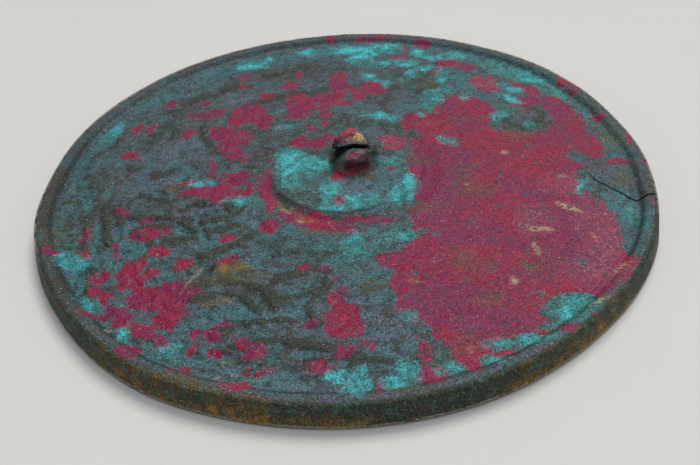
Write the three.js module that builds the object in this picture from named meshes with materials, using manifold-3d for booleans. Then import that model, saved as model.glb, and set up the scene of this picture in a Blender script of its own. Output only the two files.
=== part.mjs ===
// Ancient bronze mirror: one round casting lying on its plain reflecting face, with the
// decorated back and its pierced knob up. Millimetres, +Z up, +Y away from the viewer.
// The origin is at the centre of the flat reflecting face.
import * as THREE from "three";
import { mergeVertices } from "three/addons/utils/BufferGeometryUtils.js";
import Module from "manifold-3d";

// Disc and rim
const MIRROR_DIAMETER = 120;
const RIM_HEIGHT = 4.6;
const RIM_CREST_WIDTH = 2.3;
const RIM_CREST_CAMBER = 0.12;
const RIM_SIDE_LEAN = 0.8;
const RIM_INNER_SLOPE_RUN = 0.9;
const FACE_EDGE_ROUNDING = 0.45;
const FIELD_THICKNESS = 3.7;
const RIM_GROOVE_WIDTH = 1.1;
const RIM_GROOVE_DEPTH = 0.2;

// Round platform under the knob, with the trough and low ring around it
const PLATFORM_DIAMETER = 29.2;
const PLATFORM_RISE = 0.55;
const PLATFORM_CROWN = 0.3;
const PLATFORM_EDGE_RUN = 0.9;
const PLATFORM_EDGE_WANDER = 0.35;
const PLATFORM_OFFSET_X = 0.6;
const TROUGH_WIDTH = 2.4;
const TROUGH_DEPTH = 0.17;
const RING_WIDTH = 2.8;
const RING_RISE = 0.15;

// Knob: a dome pierced from left to right for a cord, broken across its front leg
const KNOB_CENTRE_X = 2.35;
const KNOB_CENTRE_Y = 2.35;
const KNOB_WIDTH = 8;
const KNOB_DEPTH = 9.2;
const KNOB_HEIGHT = 6.5;
const KNOB_LEAN = 0.75;
const KNOB_FOOT_FLARE = 1.1;
const KNOB_FOOT_FLARE_HEIGHT = 1.6;
const CORD_HOLE_DIAMETER = 3;
const CORD_HOLE_MOUTH_FLARE = 0.55;
const CORD_HOLE_HEIGHT = 1.5;
const CORD_HOLE_BACK_OFFSET = 0.7;
const CORD_HOLE_SAG = 0.9;
const BREAK_FRONT_OFFSET = 2.3;
const BREAK_WIDTH = 0.9;
const NEAR_STUB_HEIGHT = 4.4;
const NEAR_STUB_SLOPE = 0.48;
const NEAR_STUB_ARCH = 0.7;
const NEAR_STUB_LEFT_FALL = 3;
const NEAR_STUB_LEAST_HEIGHT = 0.9;
const FAR_STUB_SLOPE = 1.05;
const FAR_STUB_ARCH = 0.4;

// Crack through the right-hand rim
const CRACK_WIDTH = 0.55;
const CRACK_DEPTH = 2.4;

// Worn relief of the field
const RELIEF_HEIGHT = 0.42;
const RELIEF_WIDTH = 2.3;

// Facets
const FACET_LENGTH = 2.5;
const FIELD_RING_STEP = 2.1;
const PLATFORM_RING_SHARES = [0.2, 0.42, 0.62, 0.8, 0.93];
const KNOB_SIDES = 24;
const KNOB_STEPS = 7;
const CORD_HOLE_SIDES = 14;
const CORD_HOLE_STEPS = 8;
const BREAK_STEPS = 8;

const BRONZE_COLOUR = 0x5d6a66;

const mirrorRadius = MIRROR_DIAMETER / 2;
const platformRadius = PLATFORM_DIAMETER / 2;
const crestOuterRadius = mirrorRadius - RIM_SIDE_LEAN;
const crestInnerRadius = crestOuterRadius - RIM_CREST_WIDTH;
const fieldOuterRadius = crestInnerRadius - RIM_INNER_SLOPE_RUN - RIM_GROOVE_WIDTH;
const troughInnerRadius = platformRadius + PLATFORM_EDGE_RUN;
const ringInnerRadius = troughInnerRadius + TROUGH_WIDTH;
const fieldInnerRadius = ringInnerRadius + RING_WIDTH;
const platformEdgeHeight = FIELD_THICKNESS + PLATFORM_RISE;
const knobFootHeight = platformEdgeHeight + PLATFORM_CROWN;

// The outline is not a true circle: each swell adds or takes away a little around one direction.
const OUTLINE_SWELLS = [
  { degrees: -124, spread: 13, out: 0.6 },
  { degrees: -24, spread: 10, out: 0.45 },
  { degrees: -54, spread: 11, out: -0.3 },
  { degrees: 12, spread: 9, out: -0.45 },
  { degrees: 41, spread: 12, out: 0.35 },
  { degrees: 100, spread: 16, out: -0.35 },
  { degrees: 174, spread: 10, out: -0.35 },
  { degrees: -169, spread: 8, out: 0.3 },
];

// Strokes of the worn relief, as shares of the mirror's radius: what is left of its curls and tails.
// A share of 1 is the full relief height, and a negative one is a groove.
const RELIEF_STROKES = [
  { height: 1, path: [[-0.81, -0.17], [-0.79, -0.11], [-0.73, -0.13], [-0.68, -0.18], [-0.56, -0.19]] },
  { height: 1, path: [[-0.56, -0.19], [-0.52, -0.22], [-0.46, -0.26], [-0.39, -0.27], [-0.34, -0.25]] },
  { height: 0.9, path: [[-0.76, -0.13], [-0.74, -0.23], [-0.72, -0.31]] },
  { height: 0.9, path: [[-0.68, -0.27], [-0.62, -0.24], [-0.55, -0.23]] },
  { height: 0.9, path: [[-0.51, -0.16], [-0.46, -0.12], [-0.38, -0.14], [-0.36, -0.19]] },
  { height: -0.8, path: [[-0.48, -0.165], [-0.44, -0.185], [-0.4, -0.17]] },
  { height: 0.8, path: [[-0.37, -0.15], [-0.34, -0.11], [-0.31, -0.12], [-0.32, -0.17], [-0.36, -0.22]] },
  { height: 0.9, path: [[-0.57, -0.34], [-0.52, -0.31], [-0.45, -0.29], [-0.39, -0.3]] },
  { height: 0.9, path: [[-0.46, -0.4], [-0.37, -0.36], [-0.29, -0.31]] },
  { height: 1, path: [[-0.24, -0.55], [-0.19, -0.5], [-0.12, -0.48], [-0.07, -0.5], [-0.07, -0.56]] },
  { height: 1, path: [[-0.46, -0.52], [-0.35, -0.5], [-0.29, -0.52], [-0.23, -0.57], [-0.21, -0.62]] },
  { height: 0.8, path: [[-0.45, -0.57], [-0.37, -0.55], [-0.3, -0.58], [-0.24, -0.66]] },
  { height: 0.8, path: [[-0.08, -0.57], [-0.12, -0.62], [-0.1, -0.69]] },
  { height: 0.9, path: [[-0.37, -0.71], [-0.3, -0.68], [-0.2, -0.67], [-0.09, -0.7]] },
  { height: 0.8, path: [[-0.34, -0.77], [-0.25, -0.75], [-0.15, -0.76], [-0.04, -0.8]] },
  { height: 0.9, path: [[-0.8, -0.22], [-0.79, -0.32], [-0.75, -0.42]] },
  { height: -0.8, path: [[-0.77, -0.2], [-0.755, -0.34], [-0.7, -0.48]] },
  { height: 0.8, path: [[-0.75, -0.5], [-0.71, -0.57], [-0.64, -0.6]] },
  { height: 0.8, path: [[-0.63, -0.27], [-0.58, -0.33], [-0.62, -0.39]] },
  { height: 0.6, path: [[-0.3, 0.47], [-0.16, 0.53], [0, 0.47]] },
  { height: 0.6, path: [[0.3, 0.47], [0.42, 0.56], [0.4, 0.68]] },
];

// Crack, as shares of the mirror's radius, with its width as a share of CRACK_WIDTH.
const CRACK_PATH = [
  { at: [0.785, -0.09], width: 0.25 },
  { at: [0.82, -0.165], width: 0.8 },
  { at: [0.865, -0.222], width: 1 },
  { at: [0.89, -0.257], width: 1 },
  { at: [0.945, -0.246], width: 0.7 },
  { at: [1.04, -0.255], width: 0.8 },
];

const wasm = await Module();
wasm.setup();

function smoothstep(from, to, value) {
  return THREE.MathUtils.smoothstep(value, from, to);
}

function outlineSwell(angle) {
  let out = 0;
  for (const swell of OUTLINE_SWELLS) {
    const away = Math.abs(THREE.MathUtils.euclideanModulo(
      THREE.MathUtils.radToDeg(angle) - swell.degrees + 180, 360) - 180);
    out += swell.out * Math.exp(-((away / swell.spread) ** 2));
  }
  return out;
}

// A point of a ring: the rim follows the uneven outline, and the middle follows the platform.
function ringPoint(radius, angle) {
  const towardsEdge = smoothstep(fieldInnerRadius, crestInnerRadius, radius);
  const wander = Math.sin(3 * angle + 0.6) + 0.6 * Math.sin(5 * angle + 2.1);
  const atPlatformEdge = Math.exp(-(((radius - platformRadius) / TROUGH_WIDTH) ** 2));
  const reach = radius + outlineSwell(angle) * towardsEdge
    + PLATFORM_EDGE_WANDER * wander * atPlatformEdge;
  return new THREE.Vector2(
    reach * Math.cos(angle) + PLATFORM_OFFSET_X * (1 - towardsEdge),
    reach * Math.sin(angle),
  );
}

function distanceToStroke(point, curvePoints) {
  let nearest = Infinity;
  for (let i = 0; i + 1 < curvePoints.length; i++) {
    const start = curvePoints[i];
    const along = curvePoints[i + 1].clone().sub(start);
    const share = THREE.MathUtils.clamp(
      point.clone().sub(start).dot(along) / along.lengthSq(), 0, 1);
    nearest = Math.min(nearest, point.distanceTo(start.clone().addScaledVector(along, share)));
  }
  return nearest;
}

const strokeCurves = RELIEF_STROKES.map(({ height, path }) => ({
  height,
  points: new THREE.SplineCurve(
    path.map(([x, y]) => new THREE.Vector2(x, y).multiplyScalar(mirrorRadius))).getPoints(10),
}));

function reliefHeight(point) {
  let ridge = 0;
  let groove = 0;
  for (const stroke of strokeCurves) {
    const near = Math.exp(-((distanceToStroke(point, stroke.points) / (RELIEF_WIDTH / 2)) ** 2));
    ridge = Math.max(ridge, stroke.height * near);
    groove = Math.min(groove, stroke.height * near);
  }
  return RELIEF_HEIGHT * (ridge + groove);
}

// The back's section from the middle outwards, down the side and round to the flat face.
function profileRings() {
  const rings = [];
  const add = (radius, height, carved = false) => rings.push({ radius, height, carved });
  for (const share of PLATFORM_RING_SHARES) {
    add(platformRadius * share, knobFootHeight - PLATFORM_CROWN * share ** 2);
  }
  add(platformRadius, platformEdgeHeight - PLATFORM_RISE * 0.12);
  add(troughInnerRadius, FIELD_THICKNESS - TROUGH_DEPTH * 0.6);
  add(troughInnerRadius + TROUGH_WIDTH * 0.45, FIELD_THICKNESS - TROUGH_DEPTH);
  add(ringInnerRadius, FIELD_THICKNESS);
  add(ringInnerRadius + RING_WIDTH * 0.3, FIELD_THICKNESS + RING_RISE * 0.85);
  add(ringInnerRadius + RING_WIDTH * 0.55, FIELD_THICKNESS + RING_RISE);
  add(fieldInnerRadius, FIELD_THICKNESS);
  const fieldSteps = Math.round((fieldOuterRadius - fieldInnerRadius) / FIELD_RING_STEP);
  for (let i = 1; i <= fieldSteps; i++) {
    const share = i / fieldSteps;
    add(THREE.MathUtils.lerp(fieldInnerRadius, fieldOuterRadius, share), FIELD_THICKNESS, true);
  }
  add(fieldOuterRadius + RIM_GROOVE_WIDTH * 0.5, FIELD_THICKNESS - RIM_GROOVE_DEPTH);
  add(fieldOuterRadius + RIM_GROOVE_WIDTH, FIELD_THICKNESS);
  add(crestInnerRadius, RIM_HEIGHT - RIM_CREST_CAMBER);
  add(crestInnerRadius + RIM_CREST_WIDTH * 0.5, RIM_HEIGHT);
  add(crestOuterRadius, RIM_HEIGHT - RIM_CREST_CAMBER);
  add(mirrorRadius, FACE_EDGE_ROUNDING);
  add(mirrorRadius - FACE_EDGE_ROUNDING * 0.3, FACE_EDGE_ROUNDING * 0.3);
  add(mirrorRadius - FACE_EDGE_ROUNDING, 0);
  return rings;
}

function sidesAt(radius) {
  const sides = (radius >= fieldOuterRadius ? mirrorRadius : radius) * 2 * Math.PI / FACET_LENGTH;
  return Math.max(12, 4 * Math.round(sides / 4));
}

// Joins two rings of different counts: the ring that lags in angle always steps next.
function stitchRings(indices, inner, outer) {
  let i = 0;
  let j = 0;
  while (i < inner.count || j < outer.count) {
    const innerPoint = inner.start + (i % inner.count);
    const outerPoint = outer.start + (j % outer.count);
    if ((j + 0.5) * inner.count <= (i + 0.5) * outer.count && j < outer.count) {
      indices.push(innerPoint, outerPoint, outer.start + ((j + 1) % outer.count));
      j++;
    } else {
      indices.push(innerPoint, outerPoint, inner.start + ((i + 1) % inner.count));
      i++;
    }
  }
}

function closeWithFan(indices, centre, ring, facesUp) {
  for (let i = 0; i < ring.count; i++) {
    const here = ring.start + i;
    const next = ring.start + ((i + 1) % ring.count);
    indices.push(centre, ...(facesUp ? [here, next] : [next, here]));
  }
}

function geometryFrom(points, indices) {
  const geometry = new THREE.BufferGeometry();
  geometry.setAttribute("position", new THREE.Float32BufferAttribute(points.flat(), 3));
  geometry.setIndex(indices);
  return geometry;
}

function discGeometry() {
  const points = [];
  const indices = [];
  const rings = profileRings().map(({ radius, height, carved }) => {
    const ring = { start: points.length, count: sidesAt(radius) };
    for (let i = 0; i < ring.count; i++) {
      const place = ringPoint(radius, (2 * Math.PI * i) / ring.count);
      points.push([place.x, place.y, height + (carved ? reliefHeight(place) : 0)]);
    }
    return ring;
  });
  const topCentre = points.push([PLATFORM_OFFSET_X, 0, knobFootHeight]) - 1;
  const faceCentre = points.push([0, 0, 0]) - 1;
  closeWithFan(indices, topCentre, rings[0], true);
  for (let i = 0; i + 1 < rings.length; i++) {
    stitchRings(indices, rings[i], rings[i + 1]);
  }
  closeWithFan(indices, faceCentre, rings.at(-1), false);
  return geometryFrom(points, indices);
}

// A closed body through a row of equal sections, each an anticlockwise list of points seen
// from the far end of the row, with flat ends.
function geometryThroughSections(sections) {
  const count = sections[0].length;
  const points = sections.flat();
  const indices = [];
  for (let s = 0; s + 1 < sections.length; s++) {
    for (let i = 0; i < count; i++) {
      const a = s * count + i;
      const b = s * count + ((i + 1) % count);
      indices.push(a, b, b + count, a, b + count, a + count);
    }
  }
  const capShape = (section) => {
    const origin = new THREE.Vector3(...section[0]);
    const vectors = section.map((p) => new THREE.Vector3(...p).sub(origin));
    const normal = new THREE.Vector3();
    for (let i = 0; i < count; i++) {
      normal.add(vectors[i].clone().cross(vectors[(i + 1) % count]));
    }
    normal.normalize();
    const across = vectors.find((v) => v.lengthSq() > 0).clone().normalize();
    const up = normal.clone().cross(across);
    return vectors.map((v) => new THREE.Vector2(v.dot(across), v.dot(up)));
  };
  const lastStart = (sections.length - 1) * count;
  for (const [a, b, c] of THREE.ShapeUtils.triangulateShape(capShape(sections[0]), [])) {
    indices.push(a, c, b);
  }
  for (const [a, b, c] of THREE.ShapeUtils.triangulateShape(capShape(sections.at(-1)), [])) {
    indices.push(lastStart + a, lastStart + b, lastStart + c);
  }
  return geometryFrom(points, indices);
}

// The dome stands on a flared foot, is rooted in the platform and leans to the left.
function knobDome() {
  const rootDepth = FIELD_THICKNESS / 2;
  const sections = [];
  const addSection = (share, height, flare) => {
    const section = [];
    for (let i = 0; i < KNOB_SIDES; i++) {
      const angle = (2 * Math.PI * i) / KNOB_SIDES;
      section.push([
        KNOB_CENTRE_X - KNOB_LEAN * Math.max(0, height / KNOB_HEIGHT)
          + (KNOB_WIDTH / 2 * share + flare) * Math.cos(angle),
        KNOB_CENTRE_Y + (KNOB_DEPTH / 2 * share + flare) * Math.sin(angle),
        knobFootHeight + height,
      ]);
    }
    sections.push(section);
  };
  addSection(1, -rootDepth, KNOB_FOOT_FLARE);
  addSection(1, -PLATFORM_CROWN / 2, KNOB_FOOT_FLARE);
  addSection(1, KNOB_FOOT_FLARE_HEIGHT * 0.4, KNOB_FOOT_FLARE * 0.3);
  addSection(1, KNOB_FOOT_FLARE_HEIGHT, 0);
  for (let i = 1; i <= KNOB_STEPS; i++) {
    const turn = (i / (KNOB_STEPS + 0.6)) * (Math.PI / 2);
    const rise = KNOB_HEIGHT - KNOB_FOOT_FLARE_HEIGHT;
    addSection(Math.cos(turn) ** 0.8, KNOB_FOOT_FLARE_HEIGHT + rise * Math.sin(turn) ** 0.92, 0);
  }
  return geometryThroughSections(sections);
}

// The cord hole sags in its middle and widens towards both mouths.
function cordHole() {
  const reach = KNOB_WIDTH / 2 + 2.4 * KNOB_FOOT_FLARE;
  const sections = [];
  for (let s = 0; s <= CORD_HOLE_STEPS; s++) {
    const share = (2 * s) / CORD_HOLE_STEPS - 1;
    const radius = CORD_HOLE_DIAMETER / 2 + CORD_HOLE_MOUTH_FLARE * share ** 2;
    const section = [];
    for (let i = 0; i < CORD_HOLE_SIDES; i++) {
      const angle = (2 * Math.PI * i) / CORD_HOLE_SIDES;
      section.push([
        KNOB_CENTRE_X + reach * share,
        KNOB_CENTRE_Y + CORD_HOLE_BACK_OFFSET + radius * Math.cos(angle),
        knobFootHeight + CORD_HOLE_HEIGHT + CORD_HOLE_SAG * share ** 2 + radius * Math.sin(angle),
      ]);
    }
    sections.push(section);
  }
  return geometryThroughSections(sections);
}

// What is broken away over the front leg, with the open crack that runs from there down and
// back into the cord hole. The section is in Y and Z. The near stub's top falls to the left.
function knobBreak() {
  const crackFront = KNOB_CENTRE_Y - BREAK_FRONT_OFFSET;
  const front = KNOB_CENTRE_Y - KNOB_DEPTH / 2 - KNOB_FOOT_FLARE;
  const nearTop = knobFootHeight + NEAR_STUB_HEIGHT;
  const nearFront = nearTop - (crackFront - front) * NEAR_STUB_SLOPE;
  const step = BREAK_WIDTH * Math.SQRT1_2;
  const holeY = KNOB_CENTRE_Y + CORD_HOLE_BACK_OFFSET;
  const reachDown = holeY - crackFront - step / 2;
  const above = knobFootHeight + KNOB_HEIGHT + 2 * FAR_STUB_ARCH;
  const farTop = nearTop + step;
  const halfReach = KNOB_WIDTH / 2 + KNOB_FOOT_FLARE;
  const sections = [];
  for (let s = 0; s <= BREAK_STEPS; s++) {
    const share = (2 * s) / BREAK_STEPS - 1;
    const nearFall = NEAR_STUB_ARCH * share ** 2 + NEAR_STUB_LEFT_FALL * smoothstep(0.2, 0.8, -share);
    const nearLeast = knobFootHeight + NEAR_STUB_LEAST_HEIGHT;
    const farFall = FAR_STUB_ARCH * share ** 2;
    const profile = [
      [crackFront, Math.max(nearTop - nearFall, nearLeast)],
      [crackFront + reachDown, nearTop - reachDown - farFall],
      [crackFront + reachDown + step, nearTop - reachDown + step - farFall],
      [crackFront + step, farTop - farFall],
      [crackFront + step + (above - farTop) / FAR_STUB_SLOPE, above],
      [front, above],
      [front, Math.max(nearFront - nearFall, nearLeast)],
    ];
    sections.push(profile.map(([y, z]) => [KNOB_CENTRE_X + halfReach * share, y, z]));
  }
  return geometryThroughSections(sections);
}

// A wedge that is widest at the top and ends in the thickness of the disc.
function rimCrack() {
  const top = RIM_HEIGHT + 1;
  const bottom = FIELD_THICKNESS - CRACK_DEPTH;
  const sections = CRACK_PATH.map(({ at, width }, i) => {
    const before = CRACK_PATH[Math.max(i - 1, 0)].at;
    const after = CRACK_PATH[Math.min(i + 1, CRACK_PATH.length - 1)].at;
    const side = new THREE.Vector2(before[1] - after[1], after[0] - before[0])
      .setLength(CRACK_WIDTH * width);
    const [x, y] = at.map((share) => share * mirrorRadius);
    return [[x, y, bottom], [x + side.x, y + side.y, top], [x - side.x, y - side.y, top]];
  });
  return geometryThroughSections(sections);
}

function toSolid(geometry) {
  const merged = mergeVertices(geometry);
  return new wasm.Manifold(new wasm.Mesh({
    numProp: 3,
    vertProperties: Float32Array.from(merged.attributes.position.array),
    triVerts: Uint32Array.from(merged.index.array),
  }));
}

function toGeometry(solid) {
  const mesh = solid.getMesh();
  const geometry = new THREE.BufferGeometry();
  geometry.setAttribute("position", new THREE.BufferAttribute(mesh.vertProperties, mesh.numProp));
  geometry.setIndex(new THREE.BufferAttribute(mesh.triVerts, 1));
  geometry.computeVertexNormals();
  return geometry;
}

const casting = toSolid(discGeometry())
  .add(toSolid(knobDome()))
  .subtract(toSolid(cordHole()))
  .subtract(toSolid(knobBreak()))
  .subtract(toSolid(rimCrack()));

const bronze = new THREE.MeshStandardMaterial({
  color: BRONZE_COLOUR,
  roughness: 0.62,
  metalness: 0.35,
});
const mirror = new THREE.Mesh(toGeometry(casting), bronze);
mirror.name = "mirror";

const part = new THREE.Group();
part.add(mirror);

export default part;
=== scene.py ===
"""Ancient bronze mirror, lying on its reflecting face with the decorated back and its knob up.

The frame holds the plain solid. This script makes the fine casting that stands for it, with its rubbed-down
relief, broken knob, cracked rim and patina, and adds a floor, soft light and a camera. Objects are in
metres; the sizes of the casting are written in millimetres and its layout in shares of its radius.
"""
import itertools
import logging
import math
from dataclasses import dataclass
from enum import Enum

import bpy
import numpy as np
from mathutils import Matrix, Vector


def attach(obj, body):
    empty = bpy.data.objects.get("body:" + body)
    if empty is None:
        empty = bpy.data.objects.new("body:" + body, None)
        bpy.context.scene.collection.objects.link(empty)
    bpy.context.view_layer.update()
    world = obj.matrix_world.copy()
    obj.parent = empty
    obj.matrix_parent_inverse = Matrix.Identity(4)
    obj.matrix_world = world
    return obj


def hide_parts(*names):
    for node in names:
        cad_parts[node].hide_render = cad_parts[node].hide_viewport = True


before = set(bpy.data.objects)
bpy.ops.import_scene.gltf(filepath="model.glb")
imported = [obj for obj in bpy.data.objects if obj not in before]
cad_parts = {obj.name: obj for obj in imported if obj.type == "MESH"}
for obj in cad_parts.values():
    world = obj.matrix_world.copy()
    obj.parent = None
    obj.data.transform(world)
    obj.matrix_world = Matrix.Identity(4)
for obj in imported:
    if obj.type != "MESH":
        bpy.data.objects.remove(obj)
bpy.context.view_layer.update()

LOG = logging.getLogger("bronze_mirror")
METRES_PER_MM = 0.001

Place = tuple[float, float, float]
Colour = tuple[float, float, float]
Socket = bpy.types.NodeSocket
Feed = Socket | float | tuple


@dataclass(frozen=True)
class LatticeNoise:
    """Smooth random noise in space, the same on every run."""

    seed: int
    cells: int = 32

    def sample(self, points: np.ndarray, size: float) -> np.ndarray:
        """Gives one layer of noise.

        Args:
            points: Places, one row of three numbers each.
            size: The distance between two lattice points, in the unit of the places.

        Returns:
            One value from -1 to 1 for each place.
        """
        lattice = np.random.default_rng(self.seed).uniform(-1, 1, (self.cells,) * 3)
        place = points / size
        cell = np.floor(place).astype(int)
        share = place - cell
        share = share * share * (3 - 2 * share)
        total = np.zeros(len(points))
        for corner in itertools.product((0, 1), repeat=3):
            index = (cell + corner) % self.cells
            weight = np.prod(np.where(corner, share, 1 - share), axis=1)
            total += weight * lattice[index[:, 0], index[:, 1], index[:, 2]]
        return total

    def layered(self, points: np.ndarray, size: float, layers: int = 3) -> np.ndarray:
        """Adds finer and weaker layers of noise to the first one.

        Args:
            points: Places, one row of three numbers each.
            size: Lattice distance of the coarsest layer.
            layers: How many layers, each with half the size and half the strength.

        Returns:
            One value for each place, mostly from -1 to 1.
        """
        shift = np.array([5.3, 9.1, 2.7])
        return sum(
            self.sample(points + shift * size * layer, size / 2**layer) / 2**layer
            for layer in range(layers)
        )


def smoothstep(low: float, high: float, values: np.ndarray) -> np.ndarray:
    """Gives 0 below low, 1 above high and a smooth rise between them."""
    share = np.clip((values - low) / (high - low), 0, 1)
    return share * share * (3 - 2 * share)


def directions(count: int) -> np.ndarray:
    """Gives directions in radians at equal steps round a circle."""
    return np.arange(count) * 2 * math.pi / count


def walked_along(line: np.ndarray) -> np.ndarray:
    """Gives the distance walked along a line up to each of its points."""
    return np.concatenate([[0], np.cumsum(np.linalg.norm(np.diff(line, axis=0), axis=1))])


def points_along(line: np.ndarray, at: np.ndarray) -> np.ndarray:
    """Gives the points of a flat line at the given distances along it."""
    walked = walked_along(line)
    return np.column_stack([np.interp(at, walked, line[:, k]) for k in (0, 1)])


def mesh_object(name: str, points: np.ndarray, faces: list[tuple[int, ...]]) -> bpy.types.Object:
    """Makes a mesh object at the origin and puts it in the scene.

    Args:
        name: The object's name.
        points: Vertices in millimetres.
        faces: Vertex numbers of each face, anticlockwise seen from outside.

    Returns:
        The new object, with its mesh in metres.
    """
    mesh = bpy.data.meshes.new(name)
    mesh.from_pydata((np.asarray(points) * METRES_PER_MM).tolist(), [], faces)
    mesh.validate()
    made = bpy.data.objects.new(name, mesh)
    bpy.context.scene.collection.objects.link(made)
    return made


def body_through_sections(name: str, sections: np.ndarray) -> bpy.types.Object:
    """Makes a closed body through a row of equal sections, with flat ends.

    Args:
        name: The object's name.
        sections: Array of sections, points and coordinates, each section anticlockwise seen from
            the far end of the row.

    Returns:
        The closed mesh object.
    """
    rows, count, _ = sections.shape
    faces: list[tuple[int, ...]] = []
    for row, i in itertools.product(range(rows - 1), range(count)):
        a = row * count + i
        b = row * count + (i + 1) % count
        faces.append((a, b, b + count, a + count))
    faces.append(tuple(reversed(range(count))))
    faces.append(tuple((rows - 1) * count + i for i in range(count)))
    return mesh_object(name, sections.reshape(-1, 3), faces)


def stitched(inner: range, outer: range) -> list[tuple[int, int, int]]:
    """Joins two rings of vertices whose counts may differ.

    Args:
        inner: Vertex numbers of the first ring.
        outer: Vertex numbers of the ring outside or below it.

    Returns:
        The triangles between them.
    """
    faces = []
    i = j = 0
    while i < len(inner) or j < len(outer):
        here, there = inner[i % len(inner)], outer[j % len(outer)]
        if j < len(outer) and (j + 0.5) * len(inner) <= (i + 0.5) * len(outer):
            j += 1
            faces.append((here, there, outer[j % len(outer)]))
        else:
            i += 1
            faces.append((here, there, inner[i % len(inner)]))
    return faces


@dataclass(frozen=True)
class Stroke:
    """One ridge or groove of the relief, along a smooth line through a few points.

    Heights are shares of the relief's height, negative for a groove. Points are shares of the
    mirror's radius, and the width is in millimetres.
    """

    height: float
    path: tuple[tuple[float, float], ...]
    width: float = 1.9

    def line(self, radius: float, steps: int = 6) -> np.ndarray:
        """Gives points along the smooth line, in millimetres.

        Args:
            radius: The mirror's radius in millimetres.
            steps: How many pieces each span is cut into.

        Returns:
            Points along the line, one row each.
        """
        ends = np.array([self.path[0], *self.path, self.path[-1]]) * radius
        share = np.linspace(0, 1, steps, endpoint=False)[:, None]
        spans = []
        for a, b, c, d in zip(ends, ends[1:], ends[2:], ends[3:]):
            spans.append(0.5 * (
                2 * b + (c - a) * share + (2 * a - 5 * b + 4 * c - d) * share**2
                + (3 * b - a - 3 * c + d) * share**3
            ))
        return np.vstack([*spans, ends[-1]])


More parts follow.
